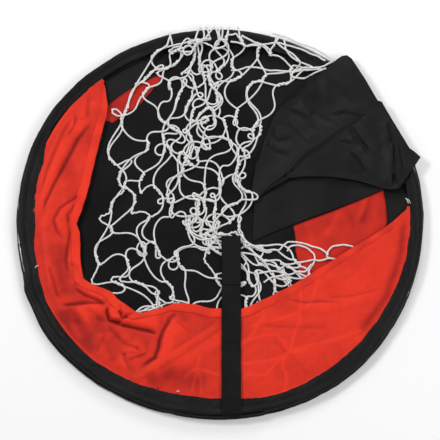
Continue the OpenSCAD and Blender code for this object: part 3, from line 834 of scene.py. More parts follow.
flap_outer = [(143, 206), (149, 211.5), (154, 216.5), (160, 217.8), (166, 213), (183, 184),
              (198, 156), (203, 154.5), (208, 145), (222, 120), (237, 93), (246, 86), (251, 81.5),
              (247, 75), (243, 69), (232, 53)]
flap_inner = [(119, 188), (104, 173), (88, 160), (70, 141), (56, 105), (43, 60), (37, 22),
              (62, 40), (86, 54), (110, 56.5), (140, 55.5), (164, 52.5), (183, 47.5), (198, 42),
              (212, 38.8), (223, 40)]
flap_creases = [  # line, rise, width, dip, crease, lean
    ([(33, 14), (48, 28), (68, 47), (87, 60), (106, 83), (128, 98), (153, 119), (190, 144)],
     2.6, 8, 3.2, 1.6, 2.4),
    ([(48, 22), (68, 38), (84, 52)], 1.0, 4, 1.4, 1.5, 1.2),
    ([(140, 137), (155, 140.5), (176, 137)], 1.4, 6, 1.5, 1.8, 1.3),
    ([(160, 127), (165, 120), (175, 103), (183, 94), (188, 82)], 2.0, 7, 2.0, 2.6, 1.6),
    ([(161, 91), (175, 74), (184, 58)], 1.6, 6, 1.7, 1.8, 1.4),
    ([(150, 104), (166, 98)], 1.0, 5, 1.0, 2.0, 1.2),
    ([(216, 40), (218.6, 62), (219, 94), (217, 104)], 2.4, 7, 3.0, 1.9, 1.4),
    ([(216, 97), (213, 116), (210, 130)], 1.2, 5, 1.2, 1.8, 1.3),
    ([(88, 146), (100, 138), (112, 129)], 1.3, 7, 1.4, 3.0, 1.4),
    ([(66, 146), (80, 153), (98, 164), (112, 174)], 1.8, 8, 1.8, 2.0, 1.6),
    ([(61, 106), (62, 97), (70, 89), (90, 84)], 1.6, 7, 1.6, 2.6, 1.4),
    ([(67, 126), (69, 110), (74, 104), (90, 107.5)], 1.4, 6, 1.4, 2.6, 1.3),
    ([(152, 121), (130, 133), (115, 143), (99, 163)], 1.8, 8, 0.6, 3.0, 1.0),
    ([(174, 145), (153, 171), (131, 190)], 1.6, 9, 0.5, 3.0, 1.0),
    ([(82, 130), (104, 108), (114, 96)], 1.1, 9, 0.6, 2.4, 1.2),
    ([(231, 62), (226, 84), (223, 104)], 1.2, 5, 0.9, 1.8, 1.2)]


def flap_height(x, y):
    """Top of the flap: on the gusset inside, up over the rim, drooping a little outside."""
    radius = np.hypot(x, y)
    z = 12.5 + 3.1 * ease((radius - 216) / 18) - 4.0 * ease((radius - 257) / 16)
    z = z + 0.5 * waves(x, y, 70, 91) + 0.2 * waves(x, y, 24, 92)
    z = with_folds(z, x, y, flap_creases)
    over_rim, outside, inside = 14.9, 9.0, 11.9              # what it lies on there
    return np.maximum(z, np.where(radius > 226, np.where(radius < 256, over_rim, outside),
                                  inside))


def between(first, last, columns, shares):
    """x and y of a sheet between two lines of points, columns along them, rows across."""
    first, last = (places_at(np.linspace(0, len(line) - 1, columns), range(len(line)), line)
                   for line in (first, last))
    flat = first + shares[:, None, None] * (last - first)
    return flat[..., 0], flat[..., 1]


x, y = between(flap_outer, flap_inner, 300, np.linspace(0, 1, 110))
height = flap_height(x, y)
# The flap's folds are painted into lit too: painted sheen along the ridges, painted shade in the
# creases, over soft random patches.
lit = with_folds(0.5 + 0.08 * waves(x, y, 40, 93), x, y, flap_creases, rise_by=0.11,
                 dip_by=0.22, crease_by=1.2)
flap = flat_cloth("rear_flap_cloth", x, y, height, black_polyester, 0.45,
                  shade=painted_crease_shade(height), lit=np.clip(lit, 0, 1.1))
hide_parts("rear_flap")
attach(flap, "target")

# ---- Rear flap hem -------------------------------------------------------------------------------
# The flap's curved edge is turned under and sewn with two parallel rows of black stitches, which
# leave a low ridge on both sides of a shallow channel.

hem_line = np.array([(84, 54), (97, 56), (110, 57), (125, 56.8), (140, 56), (152, 54.6),
                     (164, 52.8), (174, 50.4), (183, 47.8), (198, 42.4), (206, 40.4), (212, 39.6),
                     (218, 39.6), (224, 41)])
normal = np.stack([-np.gradient(hem_line[:, 1]), np.gradient(hem_line[:, 0])], -1)
normal /= np.linalg.norm(normal, axis=1)[:, None]
x, y = between(hem_line - 0.5 * normal, hem_line + 8.0 * normal, 200, np.linspace(0, 1, 11))
stitched_rows = {3: "rear_flap_stitching_inner", 7: "rear_flap_stitching_outer"}
height = flap_height(x, y) + 0.7
height[0] -= 0.3
height[-1] -= 0.4
height[list(stitched_rows)] -= 0.3
flap_hem = flat_cloth("rear_flap_hem_band", x, y, height, black_polyester, 0.5)
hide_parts("rear_flap_hem")
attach(flap_hem, "target")
for k, name in stitched_rows.items():
    row = stitch_row(name, np.stack([x[k], y[k], height[k] + 0.1], -1), 3.0, black_thread)
    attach(row, "target")

# ---- Hinge tapes ---------------------------------------------------------------------------------
# Where the two hoops are sewn together, a strip of black webbing covers each sleeve's outer side,
# and the two strips are oversewn along their meeting edges.

black_webbing = cloth_finish("black_webbing", (0.0085, 0.008, 0.0078), 0.7, 0.1, weave=0.0011,
                             depth=0.3, rib=0.0024)
half_turn = 12.4                         # of each strip's run round the hoops, in degrees


def tape_mesh(name, low, high, radius):
    """Webbing round a sleeve's outer side between two heights, swollen a little in the middle."""
    turn = np.radians(np.linspace(270 - half_turn, 270 + half_turn, 90))
    rows = np.linspace(0, 1, 12)[:, None]
    reach = (radius + 0.15 + 0.35 * np.sin(np.pi * rows)
             + 0.1 * waves(turn * hoop_radius, 0 * turn, 9, 95))
    grid = np.stack([*polar(reach, turn), low + rows * (high - low) + 0 * turn], -1)
    cloth = np.stack([rows * 6 + 0 * turn, 0 * rows + turn * hoop_radius, 0 * reach], -1)
    piece = grid_mesh(name, grid, cloth, black_webbing)
    thicken(piece, 0.7, 0.0)
    return piece


for name, node_name, low, high, radius, body in (
        ("base_hinge_webbing", "base_hinge_tape", 1.0, 6.8, 255.2, "base"),
        ("target_hinge_webbing", "target_hinge_tape", 7.2, 13.0, 254.6, "target")):
    tape = tape_mesh(name, low, high, radius)
    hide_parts(node_name)
    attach(tape, body)

# ---- Closure strap -------------------------------------------------------------------------------
# A 24 mm black polyester webbing strap is box-stitched to the sleeve, where it folds over as a
# hinge, and lies up over the face, free at its tip. Hook tape is sewn on its tip and loop tape
# under it near the root.

strap_x = 14.0                           # of the strap's middle line


def strip_mesh(name, line, half_width, thickness, material):
    """Webbing along a line of (y, z) points for its upper face, with rounded selvedges."""
    run = run_along(line)
    at = np.linspace(0, run[-1], max(8, int(run[-1] / 1.2)))
    y, z = places_at(at, run, line).T
    z = smoothed(z, 9, "edge")
    across, at = np.linspace(-1, 1, 17), at[:, None]
    crown = thickness * 0.12 * (1 - across ** 2) - thickness * 0.18 * np.abs(across) ** 10
    grid = np.zeros((len(at), len(across), 3))
    grid[..., 0] = strap_x + across * half_width + 0.12 * waves(at, 0 * at, 40, 97)
    grid[..., 1] = y[:, None]
    grid[..., 2] = z[:, None] + crown + 0.08 * waves(at, across * 12, 25, 98)
    cloth = np.zeros_like(grid)
    cloth[..., 0], cloth[..., 1] = across * half_width, at
    piece = grid_mesh(name, grid, cloth, material)
    piece.data.flip_normals()
    thicken(piece, thickness)
    return piece


strap = strip_mesh(
    "webbing_strap",
    [(-255.6, 10.6), (-254.6, 12.8), (-252, 14.9), (-248, 15.8), (-229, 15.8), (-222, 15.2),
     (-210, 14.6), (-120, 14.6), (-60, 14.5), (-22, 14.5)], 12.0, 1.5, black_webbing)
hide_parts("closure_strap", "strap_anchor")
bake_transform(strap)
box = [(3.5, -240), (24.5, -240), (24.5, -251), (3.5, -251), (3.5, -240), (24.5, -251),
       (24.5, -240), (3.5, -251)]
row = stitch_row("strap_box_stitching", [(x, y, 16.05) for x, y in box], 2.6, black_thread, 0.55)
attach(row, "target")


def pile_finish(name, color, scale, depth):
    """Hook or loop tape: a dense rough pile on a woven ground."""
    finish = Finish(name, color, 0.9, Specular_IOR_Level=0.1, Sheen_Weight=0.03,
                    Sheen_Roughness=0.6)
    cloth = finish.attribute("cloth", "Vector")
    pile = finish.node("ShaderNodeTexVoronoi", {"feature": "F1"},
                       {"Vector": cloth, "Scale": scale})
    lint = finish.noise(cloth, scale * 0.4, 3.0)
    finish.set("Base Color", finish.blend_color((pile * 1.2).clamped(), toned(color, 1.8),
                                                (*color, 1)))
    finish.set("Roughness", 0.75 + 0.2 * lint)
    finish.bump((1 - pile) + lint, 0.8, depth * MM)
    return finish.material


hook_tape = strip_mesh("strap_hook_tape", [(-86, 15.5), (-26, 15.5)], 11.0, 0.9,
                       pile_finish("hook_pile", (0.0075, 0.0072, 0.0072), 1100.0, 0.5))
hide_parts("strap_hook_patch")
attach(hook_tape, "strap")
loop_tape = strip_mesh("strap_loop_tape", [(-201, 13.0), (-132, 13.0)], 11.0, 0.9,
                       pile_finish("loop_pile", (0.0075, 0.0072, 0.0072), 700.0, 0.4))
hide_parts("strap_loop_patch")
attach(loop_tape, "strap")

# ---- Net -----------------------------------------------------------------------------------------
# The pocket is knotless net of soft white braided cord, 2.3 mm thick: each cord is twisted in turn
# with its left and its right neighbour. Its head is bound to the rim, and folded it's a tangle.

cord_count, joint_rows = 20, 12
cord_radius = 1.13
step_length = 3.0                        # between two points of a cord's line
joint_points, leg_points = 5, 17         # points in a twisted joint, and in a leg between joints
foot_down = 1 + 1 / 8                    # the foot's share of the net's length, past its last row
net_layout = [  # where the net lies: seven places across it in each row, head to foot
    ((-92, 212), (-44, 230), (-20, 233), (-4, 238), (12, 236), (62, 229), (132, 205)),
    ((-124, 172), (-76, 192), (-32, 199), (-8, 206), (-8, 200), (44, 220), (112, 203)),
    ((-132, 125), (-92, 150), (-44, 162), (-4, 152), (-34, 150), (28, 168), (34, 180)),
    ((-138, 78), (-98, 104), (-52, 112), (-6, 122), (-48, 110), (34, 112), (54, 126)),
    ((-146, 30), (-100, 52), (-54, 72), (4, 70), (-68, 56), (30, 74), (46, 82)),
    ((-152, -20), (-98, 2), (-46, 30), (4, 26), (-62, 6), (22, 34), (40, 36)),
    ((-150, -55), (-94, -40), (-52, -10), (-12, -16), (-50, -24), (-2, -30), (6, -24)),
    ((-134, -88), (-96, -72), (-40, -60), (34, -66), (44, -54), (58, -50), (80, -42)),
    ((-114, -112), (-78, -108), (-30, -100), (36, -96), (50, -86), (70, -78), (92, -64))]
net_foot = [(-146, -104), (-92, -122), (-50, -124), (34, -122), (60, -112), (94, -94),
            (126, -72)]
drawn_cords = [  # where cords are drawn out to the right, six at the foot and four at the head
    [(26, -36), (39, -33), (55, -38), (66, -39), (74, -37), (82, -28), (90, -28), (103, -29),
     (115, -33), (126, -36), (132, -41), (133, -47), (142, -50), (150, -48), (158, -46)],
    [(133, -46), (134, -40), (137, -36), (142, -33), (152, -31), (163, -33), (169, -36),
     (173, -43)],
    [(84, -40), (90, -33), (99, -32), (109, -36), (116, -43), (118, -51), (115, -58), (111, -64),
     (110, -72), (113, -80)],
    [(72, -66), (76, -61), (84, -58), (97, -55), (111, -52), (122, -52), (132, -49), (144, -51),
     (152, -50)],
    [(54, -79), (70, -73), (84, -70), (95, -68), (107, -64), (114, -58)],
    [(78, -62), (80, -68), (84, -71), (90, -74), (99, -75), (107, -74), (112, -70)],
    [(14, 236), (25, 233), (35, 229), (52, 231), (70, 233), (93, 228), (115, 219), (133, 210)],
    [(14, 200), (21, 199), (35, 204), (62, 200), (93, 198), (124, 198), (134, 198)],
    [(134, 198), (115, 193), (104, 188), (93, 190), (92, 196), (106, 201), (120, 199)],
    [(70, 233), (84, 224), (97, 214), (101, 206), (93, 199)]]
slack_cords = [  # where cords of the net's foot lie flat under the face
    [(46, -106), (54, -121), (50, -134), (42, -146), (34, -156), (27, -164)],
    [(98, -82), (101, -106), (98, -129), (91, -152), (86, -171)],
    [(40, -138), (54, -134), (72, -129), (92, -123), (112, -108), (124, -66)],
    [(28, -158), (46, -153), (67, -149), (78, -158), (86, -171), (98, -171), (110, -165)],
    [(28, -186), (49, -185), (73, -179), (86, -171), (109, -164), (149, -153), (174, -143)],
    [(86, -171), (79, -179), (77, -191), (82, -203), (79, -221)],
    [(86, -171), (74, -180), (62, -195), (55, -200), (33, -201)],
    [(-44, -204), (-28, -193), (-14, -197), (-3, -201)],
    [(-26, -178), (-28, -193), (-34, -221)], [(-28, -193), (-24, -208), (-23, -223)]]
net_heads = [  # where the bights between cords are held: over the rim, or inside it
    (-61.5, 248.5), (-38, 236), (-24.5, 255.2), (-14, 240), (-7.5, 256.3), (2.5, 256.4),
    (11.5, 256.1), (19.5, 246), (30, 241), (77, 243.5), (142, 208)]
chance = np.random.default_rng(11)


def net_place(across, down):
    """Where a share of the net's width and length lies."""
    rows = [places_at(across, np.linspace(0, 1, 7), row) for row in [*net_layout, net_foot]]
    return places_at(down, np.linspace(0, foot_down, len(rows)), rows)


def clear_of_strap(place):
    """Twisted joints lie beside the strap, so that only legs cross under it."""
    if abs(place[0] - strap_x) < 15 and -190 < place[1] < -16:
        place[0] = strap_x + (-17 if place[0] < 13 else 17)
    return place


def leg_shape(a, b, count):
    """A slack leg between two joints: an arc, an S, or a whole turn where there's much slack."""
    gap = b - a
    span = max(1.0, float(np.hypot(*gap)))
    ahead, square = gap / span, np.array([-gap[1], gap[0]]) / span
    length = count * step_length
    t = np.arange(1, count) / count
    if length > 1.7 * span and chance.random() < 0.65:
        turn = chance.choice([-1, 1]) * 2 * math.pi * ease((t - 0.1) / 0.8)
        radius = (length - span) / (2 * math.pi) * 0.9
        swing, along = radius * (1 - np.cos(turn)), radius * np.sin(np.abs(turn))
        swing = swing * np.sign(turn + 1e-9)
    else:
        slack = math.sqrt(max(0.0, length ** 2 - span ** 2))
        swing = slack * (chance.choice([-1, 1]) * chance.uniform(0.25, 0.42) * np.sin(math.pi * t)
                         + chance.uniform(-0.2, 0.2) * np.sin(2 * math.pi * t))
        along = 0 * t
    return a + gap * t[:, None] + ahead * along[:, None] + square * swing[:, None]


points, home, is_joint = [], [], []      # all points of the cords, and where some are held
joint_of = {}                            # (row, cord on its left) to the joint's point numbers


def add_point(place, held, joint=False):
    points.append(np.array(place, float))
    home.append(points[-1] if held else (np.nan, np.nan))
    is_joint.append(joint)
    return len(points) - 1


for r in range(joint_rows):
    for i in range(r % 2, cord_count - 1, 2):
        across, down = (i + 0.5) / (cord_count - 1), r / (joint_rows - 1)
        middle = net_place(across, down)
        wild = (1 - 0.6 * ease((-60 - middle[0]) / 50) - 0.5 * ease((middle[1] - 130) / 60)
                - 0.7 * math.exp(-((middle[0] - 8) / 18) ** 2 - ((middle[1] + 20) / 24) ** 2))
        middle = clear_of_strap(middle + chance.normal(0, 3 + 9 * wild, 2))
        heading = net_place(across, down + 0.06) - net_place(across, max(0, down - 0.06))
        turned = math.atan2(heading[1], heading[0]) + chance.normal(0, 0.2 + 0.6 * wild)
        heading = np.array([math.cos(turned), math.sin(turned)])
        joint_of[r, i] = [add_point(middle + heading * (k - joint_points // 2) * step_length,
                                    True, True) for k in range(joint_points)]

head_points = [add_point(place, True) for place in net_heads]
foot_points = [add_point(clear_of_strap(net_place((i + 0.5) / (cord_count - 1), foot_down)
                                        + chance.normal(0, 5, 2)), True)
               for i in range(0, cord_count, 2)]

lines, twists = [], []                   # each cord's point numbers, and its part in each joint
for i in range(cord_count):
    line, twist, last_row = [head_points[(i + 1) // 2]], [None], -1
    for r in range(joint_rows + 1):
        left = i if (r - i) % 2 == 0 else i - 1
        if r == joint_rows:
            numbers = [foot_points[i // 2]]
        elif (r, left) in joint_of:
            numbers = joint_of[r, left]
        else:
            continue
        start, end = points[line[-1]], points[numbers[0]]
        share = 0.55 if r == 0 else 0.75 if r == joint_rows else 1.0     # short at both ends
        if end[0] > 28 and end[1] < -25 or end[0] > 14 and end[1] > 170:
            share *= 0.55                # at the far right, high and low, the net is drawn out
        if r - last_row > 1:
            share *= 1.35                # an outer cord has no joint in every other row
        count = int(leg_points * share)
        count = max(count, int(1.03 * np.hypot(*(end - start)) / step_length))
        leg = [add_point(place, False) for place in leg_shape(start, end, count)]
        side = 1 if left == i else -1
        line += leg + numbers
        twist += [None] * len(leg) + [(k, side) if len(numbers) > 1 else None
                                      for k in range(len(numbers))]
        last_row = r
    lines.append(line)
    twists.append(twist)

flat, home, is_joint = np.array(points), np.array(home), np.array(is_joint)
held = ~np.isnan(home[:, 0])
home[~held] = 0
pinned, near_rim = np.zeros(len(flat), bool), np.zeros(len(flat), bool)
pinned[head_points + foot_points] = True
for line in lines:
    near_rim[line[:5]] = True

# Runs of cord go on round their bights at head and foot, so they bend smoothly there as well.
runs = list(lines)
runs += [lines[i][6:0:-1] + lines[i + 1][:7] for i in range(1, cord_count - 1, 2)]
runs += [lines[i][-7:] + lines[i + 1][-2:-8:-1] for i in range(0, cord_count - 1, 2)]
near = np.array([(a, b) for line in lines for a, b in zip(line, line[1:])])
bends = [np.array([(a, b, c) for run in runs for a, b, c in zip(run, run[k:], run[2 * k:])])
         for k in (1, 2, 3)]


def turn_of(x, y):
    """Turn angle in degrees, counted on from the face's upper left end."""
    turn = np.degrees(np.arctan2(y, x))
    return np.where(turn < 126, turn + 360, turn)


def edge_at(turn):
    """Radius of the face's free edge, or of its end where there's no face."""
    return opening_radius(np.clip(turn, face_first, face_last))


def inside_hoop(x, y):
    """How far a line of cord may lie from the middle: to the rim, or a little under the face."""
    turn = turn_of(x, y)
    return np.where(turn < 364, edge_at(turn) + np.where(turn > 275, 10, 7), 238.0)


def gathered(numbers, values):
    """Sums of the rows of values that belong to the same point, for all points of the net."""
    return np.stack([np.bincount(numbers, column, len(points)) for column in values.T], -1)


def settle(flat, rounds, hold, stiff):
    """Moves the cords' lines in the plane until they keep their length and bend softly."""
    first, second = near.T
    shares = np.maximum(1, np.bincount(near.ravel(), minlength=len(flat)))[:, None] / 1.3
    free = np.where(pinned, 0.0, 1.0)[:, None]
    for _ in range(rounds):
        shift = np.zeros_like(flat)
        for reach, (triple, weight) in enumerate(zip(bends, (1.0, 0.6, 0.4)), 1):
            a, b, c = triple.T
            chord = flat[c] - flat[a]
            square = np.column_stack([-chord[:, 1], chord[:, 0]])
            square /= np.maximum(1e-6, np.linalg.norm(chord, axis=1))[:, None]
            sag = 0.5 * (flat[a] + flat[c]) - flat[b]
            sag += square * (curl[b] * (reach * step_length) ** 2 / 2)[:, None]
            sag *= (np.where(is_joint[b], 2.5, 1.0) * stiff * weight)[:, None]
            shift += gathered(b, sag)
            shift -= 0.5 * (gathered(a, sag) + gathered(c, sag))
        shift += np.where(held[:, None], hold * (home - flat), 0)
        flat = flat + free * shift
        for _ in range(4):
            gap = flat[second] - flat[first]
            size = np.maximum(1e-6, np.linalg.norm(gap, axis=1))
            move = gap / size[:, None] * (size - step_length)[:, None] * 0.5
            flat = flat + free * (gathered(first, move) - gathered(second, move)) / shares
        radius = np.hypot(flat[:, 0], flat[:, 1])
        limit = inside_hoop(flat[:, 0], flat[:, 1])
        pull = np.where((radius > limit) & ~pinned & ~near_rim, 1 - 0.3 * (1 - limit / radius), 1)
        flat = flat * pull[:, None]
    return flat


curl = np.zeros(len(flat))               # how a slack cord bends of itself, in 1/mm
for number, line in enumerate(lines):
    run = np.arange(len(line)) * step_length
    loose = 1 - 0.65 * ease((-60 - flat[line, 0]) / 50) - 0.3 * ease((flat[line, 1] - 130) / 60)
    curl[line] = 0.135 * loose * waves(run, 0.0, 65, 600 + number, 3)
    for start in chance.integers(10, len(line) - 20, 2):
        if loose[start] > 0.8:           # here and there a cord has sprung into a tight coil
            curl[line[start:start + 11]] = chance.choice([-0.26, 0.26])
curl[is_joint] *= 0.3
flat = settle(flat, rounds=120, hold=0.1, stiff=0.06)
flat = settle(flat, rounds=180, hold=0.03, stiff=0.12)

# Heights: cords that cross are stacked in a seeded order, and rest on what lies under them.
size = np.where(is_joint, 1.8, cord_radius)              # half a joint is two cords wide
order = np.zeros(len(flat))
for number, line in enumerate(lines):
    drift = waves(np.arange(len(line)) * step_length, 0.0, 90, 300 + number, 5)
    order[line] = order[line] + drift + chance.normal(0, 0.5)


def crossings(flat):
    """Pairs of points, upper and lower, that lie over each other and aren't part of one run or
    joint, and how far apart their heights have to be."""
    gap = np.hypot(flat[:, None, 0] - flat[None, :, 0], flat[:, None, 1] - flat[None, :, 1])
    first, second = np.nonzero(np.triu(gap < size[:, None] + size[None, :], 1))
    linked = {pair for run in runs for away in range(1, 5) for pair in zip(run, run[away:])}
    around = {}
    for (_, i), numbers in joint_of.items():
        group = set(numbers)
        for line in lines[i:i + 2]:
            at = line.index(numbers[0])
            group.update(line[max(0, at - 3):at + joint_points + 3])
        for p in group:
            around.setdefault(p, set()).update(group)
    keep = [not ((a, b) in linked or (b, a) in linked or b in around.get(a, ()))
            for a, b in zip(first.tolist(), second.tolist())]
    first, second = first[keep], second[keep]
    need = np.sqrt(np.maximum(0, (size[first] + size[second]) ** 2 - gap[first, second] ** 2))
    over = order[first] > order[second]
    return np.where(over, first, second), np.where(over, second, first), need


def in_area(x, y, outline):
    """Whether points lie inside a closed line."""
    outline = np.asarray(outline, float)
    inside = np.zeros(np.shape(x), bool)
    for a, b in zip(outline, np.roll(outline, -1, axis=0)):
        spans = (a[1] > y) != (b[1] > y)
        cut = a[0] + (y - a[1]) / (b[1] - a[1] + 1e-9) * (b[0] - a[0])
        inside ^= spans & (x < cut)
    return inside


gusset_top, face_underside, strap_underside = 9.4, 10.1, 12.9


def rest_height(x, y):
    """Top of whatever the net lies on: the apron, the right gusset, the flap or the sleeves."""
    radius = np.hypot(x, y)
    leaf = in_area(x, y, [(41, -27), (84, -8.5), (202, 40), (200, 140), (121, 205), (44, 74)])
    ground = np.where(leaf, gusset_top, apron_height(x, y))
    on_flap = in_area(x, y, flap_outer + flap_inner[::-1])
    ground = np.where(on_flap, flap_height(x, y), ground)
    lip = 4.9 + 6.8 * ease((radius - 226) / 6) + 2.5 * ease((radius - 240) / 5)
    outer = 10.6 + np.sqrt(np.maximum(0, 25 - np.maximum(0, radius - 250.4) ** 2)) - 1.3
    lip = np.where(radius > 250.4, np.where(radius > 255.4, 7.4, outer), lip)
    return np.maximum(ground, lip)


def top_height(x, y):
    """Underside of whatever lies on the net: the face or the strap."""
    turn, radius = turn_of(x, y), np.hypot(x, y)
    under_face = (radius > edge_at(turn) - 1.5) & (turn > 128) & (turn < 363)
    roof = np.where(radius > 255.4, 12.0, np.where(under_face, face_underside, 26.0))
    by_strap = (np.abs(x - strap_x) < 14) & (y < -18) & (y > -140)
    return np.where(by_strap, np.minimum(roof, strap_underside), roof)


over, under, need = crossings(flat)
low = rest_height(flat[:, 0], flat[:, 1]) + size
high = np.maximum(low, np.minimum(23.0, top_height(flat[:, 0], flat[:, 1]) - size))
height = low + 1.5 * (order - order.min()) / np.ptp(order)
count = len(flat)
for _ in range(500):
    total, shares = np.zeros(count), np.zeros(count)
    for a, b in ((near[:, 0], near[:, 1]), (bends[0][:, 0], bends[0][:, 2])):
        total += np.bincount(a, height[b], count) + np.bincount(b, height[a], count)
        shares += np.bincount(a, minlength=count) + np.bincount(b, minlength=count)
    height = height + 0.3 * (total / shares - height) - 0.04
    lack = np.maximum(0, need - (height[over] - height[under])) * 0.5
    lift = np.bincount(over, lack, count) - np.bincount(under, lack, count)
    pushes = np.bincount(over, lack > 0, count) + np.bincount(under, lack > 0, count)
    height = height + lift / np.maximum(1, pushes * 0.6)
    height = np.clip(height, low, high)


def smooth_line(values, every):
    """Catmull-Rom values along a cord's points, at a finer even step."""
    count = len(values)
    at = np.append(np.arange(0, count - 1, every), count - 1)
    k = np.minimum(at.astype(int), count - 2)
    t = (at - k).reshape(-1, *[1] * (values.ndim - 1))
    p = [values[np.clip(k + d, 0, count - 1)] for d in (-1, 0, 1, 2)]
    return 0.5 * (2 * p[1] + (p[2] - p[0]) * t + (2 * p[0] - 5 * p[1] + 4 * p[2] - p[3]) * t ** 2
                  + (3 * p[1] - p[0] - 3 * p[2] + p[3]) * t ** 3)


def tube_points(line, radius, sides, seed):
    """Rings round a line of points, without twist, and their place on the cord."""
    ahead = np.gradient(line, axis=0)
    ahead /= np.maximum(1e-9, np.linalg.norm(ahead, axis=1))[:, None]
    side = np.zeros_like(ahead)
    start = np.cross(ahead[0], (0.3, 0.2, 1.0))
    side[0] = start / np.linalg.norm(start)
    for k in range(1, len(line)):
        kept = side[k - 1] - ahead[k] * (side[k - 1] @ ahead[k])
        side[k] = kept / max(1e-9, np.linalg.norm(kept))
    angle = np.arange(sides) * 2 * math.pi / sides
    cos, sin = np.cos(angle), np.sin(angle)
    run = run_along(line)
    swell = radius * (1 + 0.05 * waves(run, 0 * run, 9, seed, 4))
    rings = line[:, None] + swell[:, None, None] * (
        side[:, None] * cos[:, None] + np.cross(ahead, side)[:, None] * sin[:, None])
    cloth = np.zeros_like(rings)
    cloth[..., 0], cloth[..., 1], cloth[..., 2] = run[:, None], cos / MM, sin / MM
    return rings, cloth


def tubes_mesh(name, paths, radius, sides, material, seed):
    """One mesh of closed tubes along several lines of points."""
    verts, faces, cloths, first = [], [], [], 0
    for number, path in enumerate(paths):
        rings, cloth = tube_points(path, radius, sides, seed + number)
        index = first + np.arange(len(rings) * sides).reshape(-1, sides)
        after = np.roll(index, -1, axis=1)
        faces += np.stack([index[:-1], after[:-1], after[1:], index[1:]],
                          -1).reshape(-1, 4).tolist()
        faces += [index[0, ::-1].tolist(), index[-1].tolist()]
        verts.append(rings.reshape(-1, 3))
        cloths.append(cloth.reshape(-1, 3))
        first += index.size
    return add_mesh(name, np.vstack(verts), faces, material, np.vstack(cloths))


def cord_finish(name, color):
    """Braided cord: strands that wind both ways round it, soft, with painted shade in the grooves
    between them and grey dust in patches.
    """
    finish = Finish(name, color, 0.75, Sheen_Weight=0.4, Sheen_Roughness=0.4)
    cloth = finish.attribute("cloth", "Vector")
    along, level, upright = finish.parts(cloth)
    along = along * (2 * math.pi / 0.0032)
    around = upright.angle(level) * 3.0
    braid = (along + around).sine() * (along - around).sine() * 0.5 + 0.5
    dusty = finish.noise(cloth, 60.0, 3.0)
    fuzz = finish.noise(cloth, 3000.0)
    # Darker in the braid's grooves, painted shade, and greyer where dust lies.
    finish.set("Base Color", finish.blend_color(
        (braid * 2.3 - 0.4 + 0.5 * (1 - dusty)).clamped(), toned(color, 0.26), (*color, 1)))
    finish.set("Roughness", 0.65 + 0.2 * fuzz)
    finish.bump(braid + 0.25 * fuzz, 0.7, 0.00035)
    return finish.material


white_cord = cord_finish("white_cord", (0.98, 0.965, 0.955))

courses = []                             # each cord's line and height, and its part in the twists
for line, twist in zip(lines, twists):
    grade = np.zeros((len(line), 5))     # strength, phase, the joint's side (x, y), and sign
    for k, part in enumerate(twist):
        if part:
            step, sign = part
            joint = flat[line[k - step:k - step + joint_points]]
            heading = joint[-1] - joint[0]
            square = np.array([heading[1], -heading[0]]) / max(1e-6, np.hypot(*heading))
            grade[k] = (1.0, step / (joint_points - 1) * 2 * math.pi, *square, sign)
    for level in (0.5, 0.2):             # a twist fades out along the legs beside its joint
        known = grade[:, 0] > 0
        for k in range(1, len(line) - 1):
            beside = k - 1 if known[k - 1] else k + 1
            if not known[k] and known[beside]:
                grade[k] = (level, *grade[beside, 1:])
    courses.append(np.column_stack([flat[line], height[line], grade]))

strands = [courses[0]]                   # two cords that share a bight at the head are one strand
for i in range(1, cord_count - 1, 2):
    strands.append(np.vstack([courses[i][::-1], courses[i + 1][1:]]))
strands.append(courses[-1])

paths = []
for strand in strands:
    fine = smooth_line(strand, every=0.36)
    apart = np.clip(fine[:, 3], 0, 1) * 1.2 * fine[:, 7]
    path = fine[:, :3].copy()
    path[:, :2] -= fine[:, 5:7] * (np.cos(fine[:, 4]) * apart)[:, None]
    path[:, 2] += np.sin(fine[:, 4]) * apart
    for _ in range(3):
        path[1:-1] = 0.25 * path[:-2] + 0.5 * path[1:-1] + 0.25 * path[2:]
        bottom = rest_height(path[:, 0], path[:, 1]) + cord_radius
        top = np.maximum(bottom, top_height(path[:, 0], path[:, 1]) - cord_radius)
        path[:, 2] = np.clip(path[:, 2], bottom, top)
    paths.append(path)


def swayed(line, every, sway, length, seed):
    """A smooth line through a few points, a little uneven."""
    line = smooth_line(np.array(line, float), every)
    return line + sway * np.stack([waves(*line.T, length, seed),
                                   waves(*line.T, length, seed + 1)], -1)


for line in drawn_cords:                 # these lie on the cords that they cross
    line = swayed(line, every=0.1, sway=0.7, length=17, seed=621)
    lying = np.vstack([path[::2] for path in paths])
    apart = np.hypot(*(line[:, None] - lying[None, :, :2]).T).T
    over_cord = lying[:, 2] + 2 * np.sqrt(np.maximum(0, cord_radius ** 2 - (apart / 2) ** 2))
    level = np.where(apart < 2 * cord_radius, over_cord, 0).max(1)
    level = np.maximum(rest_height(*line.T) + cord_radius, level)
    level = np.minimum(smoothed(level, 11, "edge"), top_height(*line.T) - cord_radius)
    paths.append(np.column_stack([line, level]))
for line in slack_cords:
    line = swayed(line, every=0.02, sway=0.5, length=30, seed=611)
    under_cloth = np.minimum(top_height(*line.T), face_underside) - cord_radius
    paths.append(np.column_stack([line, under_cloth]))

net = tubes_mesh("net_cords", paths, cord_radius, 8, white_cord, seed=400)
print("metres of cord in the net:", round(sum(run_along(path)[-1] for path in paths) * MM, 1))
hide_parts("net")
x, y, _ = points_of(net).T
turn = turn_of(x, y)
edge = np.where(turn < 364, edge_at(turn), 228.0)
slung = ease((edge - np.hypot(x, y) - 4) / 80)
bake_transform(net)
(1 - 0.35 * slung).astype(np.float32)

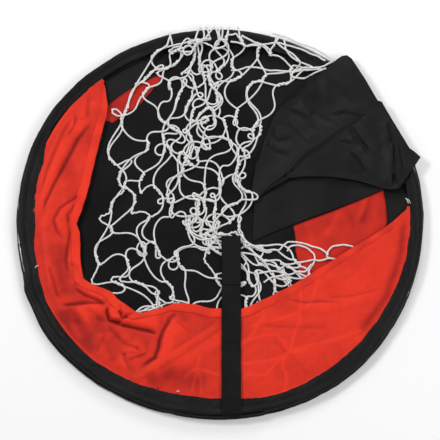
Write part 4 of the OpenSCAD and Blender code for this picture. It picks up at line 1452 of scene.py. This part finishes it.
# The face is thin, and shows the pale cords that lie close under it.
cloth = points_of(face)[:, None, :2]
cords_below = np.vstack([path[::2, :2] for path in paths[-len(slack_cords):]])
nearest = [np.sqrt(((cloth[k:k + 4000] - cords_below) ** 2).sum(2).min(1))
           for k in range(0, len(cloth), 4000)]
lit = np.zeros(len(cloth))
face.data.attributes["lit"].data.foreach_get("value", lit)
lit = lit + 0.3 * np.exp(-(np.concatenate(nearest) / 1.7) ** 2)
face.data.attributes["lit"].data.foreach_set("value", lit.astype(np.float32))

# ---- Rim loops -----------------------------------------------------------------------------------
# Short loops of the same cord bind the net's head to the hoop: each comes up through the lip, over
# the sleeve and down its outer side. A lacing cord runs on along the rim to the flap.

loops = []
for number, turn in enumerate((104.5, 93.4, 84.4, 73.5)):
    cos, sin = math.cos(math.radians(turn)), math.sin(math.radians(turn))
    out, along = np.array([cos, sin]), np.array([-sin, cos])
    lean = 2.5 * math.sin(7.3 * number)
    shape = [(239.5, 11.2, 0), (240.6, 13.0, 0.1), (243.6, 14.6, 0.3), (248.0, 15.6, 0.5),
             (252.4, 15.4, 0.7), (255.4, 13.6, 0.85), (256.3, 11.0, 0.95), (255.6, 8.7, 1.0)]
    loops.append(smooth_line(np.array([(*(out * radius + along * lean * (share - 0.5) * 2), z)
                                       for radius, z, share in shape]), 0.25))
turn = np.radians(np.linspace(75, 55.5, 60))
reach = 254.4 + 0.8 * np.sin(turn * 31)
loops.append(np.column_stack([*polar(reach, turn), 15.0 + 0.5 * np.sin(turn * 47)]))
rim_loops = tubes_mesh("rim_loop_cords", loops, cord_radius, 8, white_cord, seed=500)
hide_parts("net_rim_loops")
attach(rim_loops, "target")
ends = [smooth_line(np.array(end, float), 0.1) for end in (
    ((231.5, 28, 12.0), (233, 25, 15.2), (235, 21, 13.0)),
    ((234, 27, 12.0), (236, 23.5, 15.0), (237.5, 21, 12.6)),
    ((-225.5, -60, 12.4), (-228, -61.5, 14.6), (-229.5, -63.5, 13.0)),
    ((-50, -223, 12.4), (-52, -222.5, 14.4), (-54, -223, 12.6)))]
tails = tubes_mesh("thread_tails", ends, 0.55, 6, white_cord, seed=520)
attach(tails, "target")
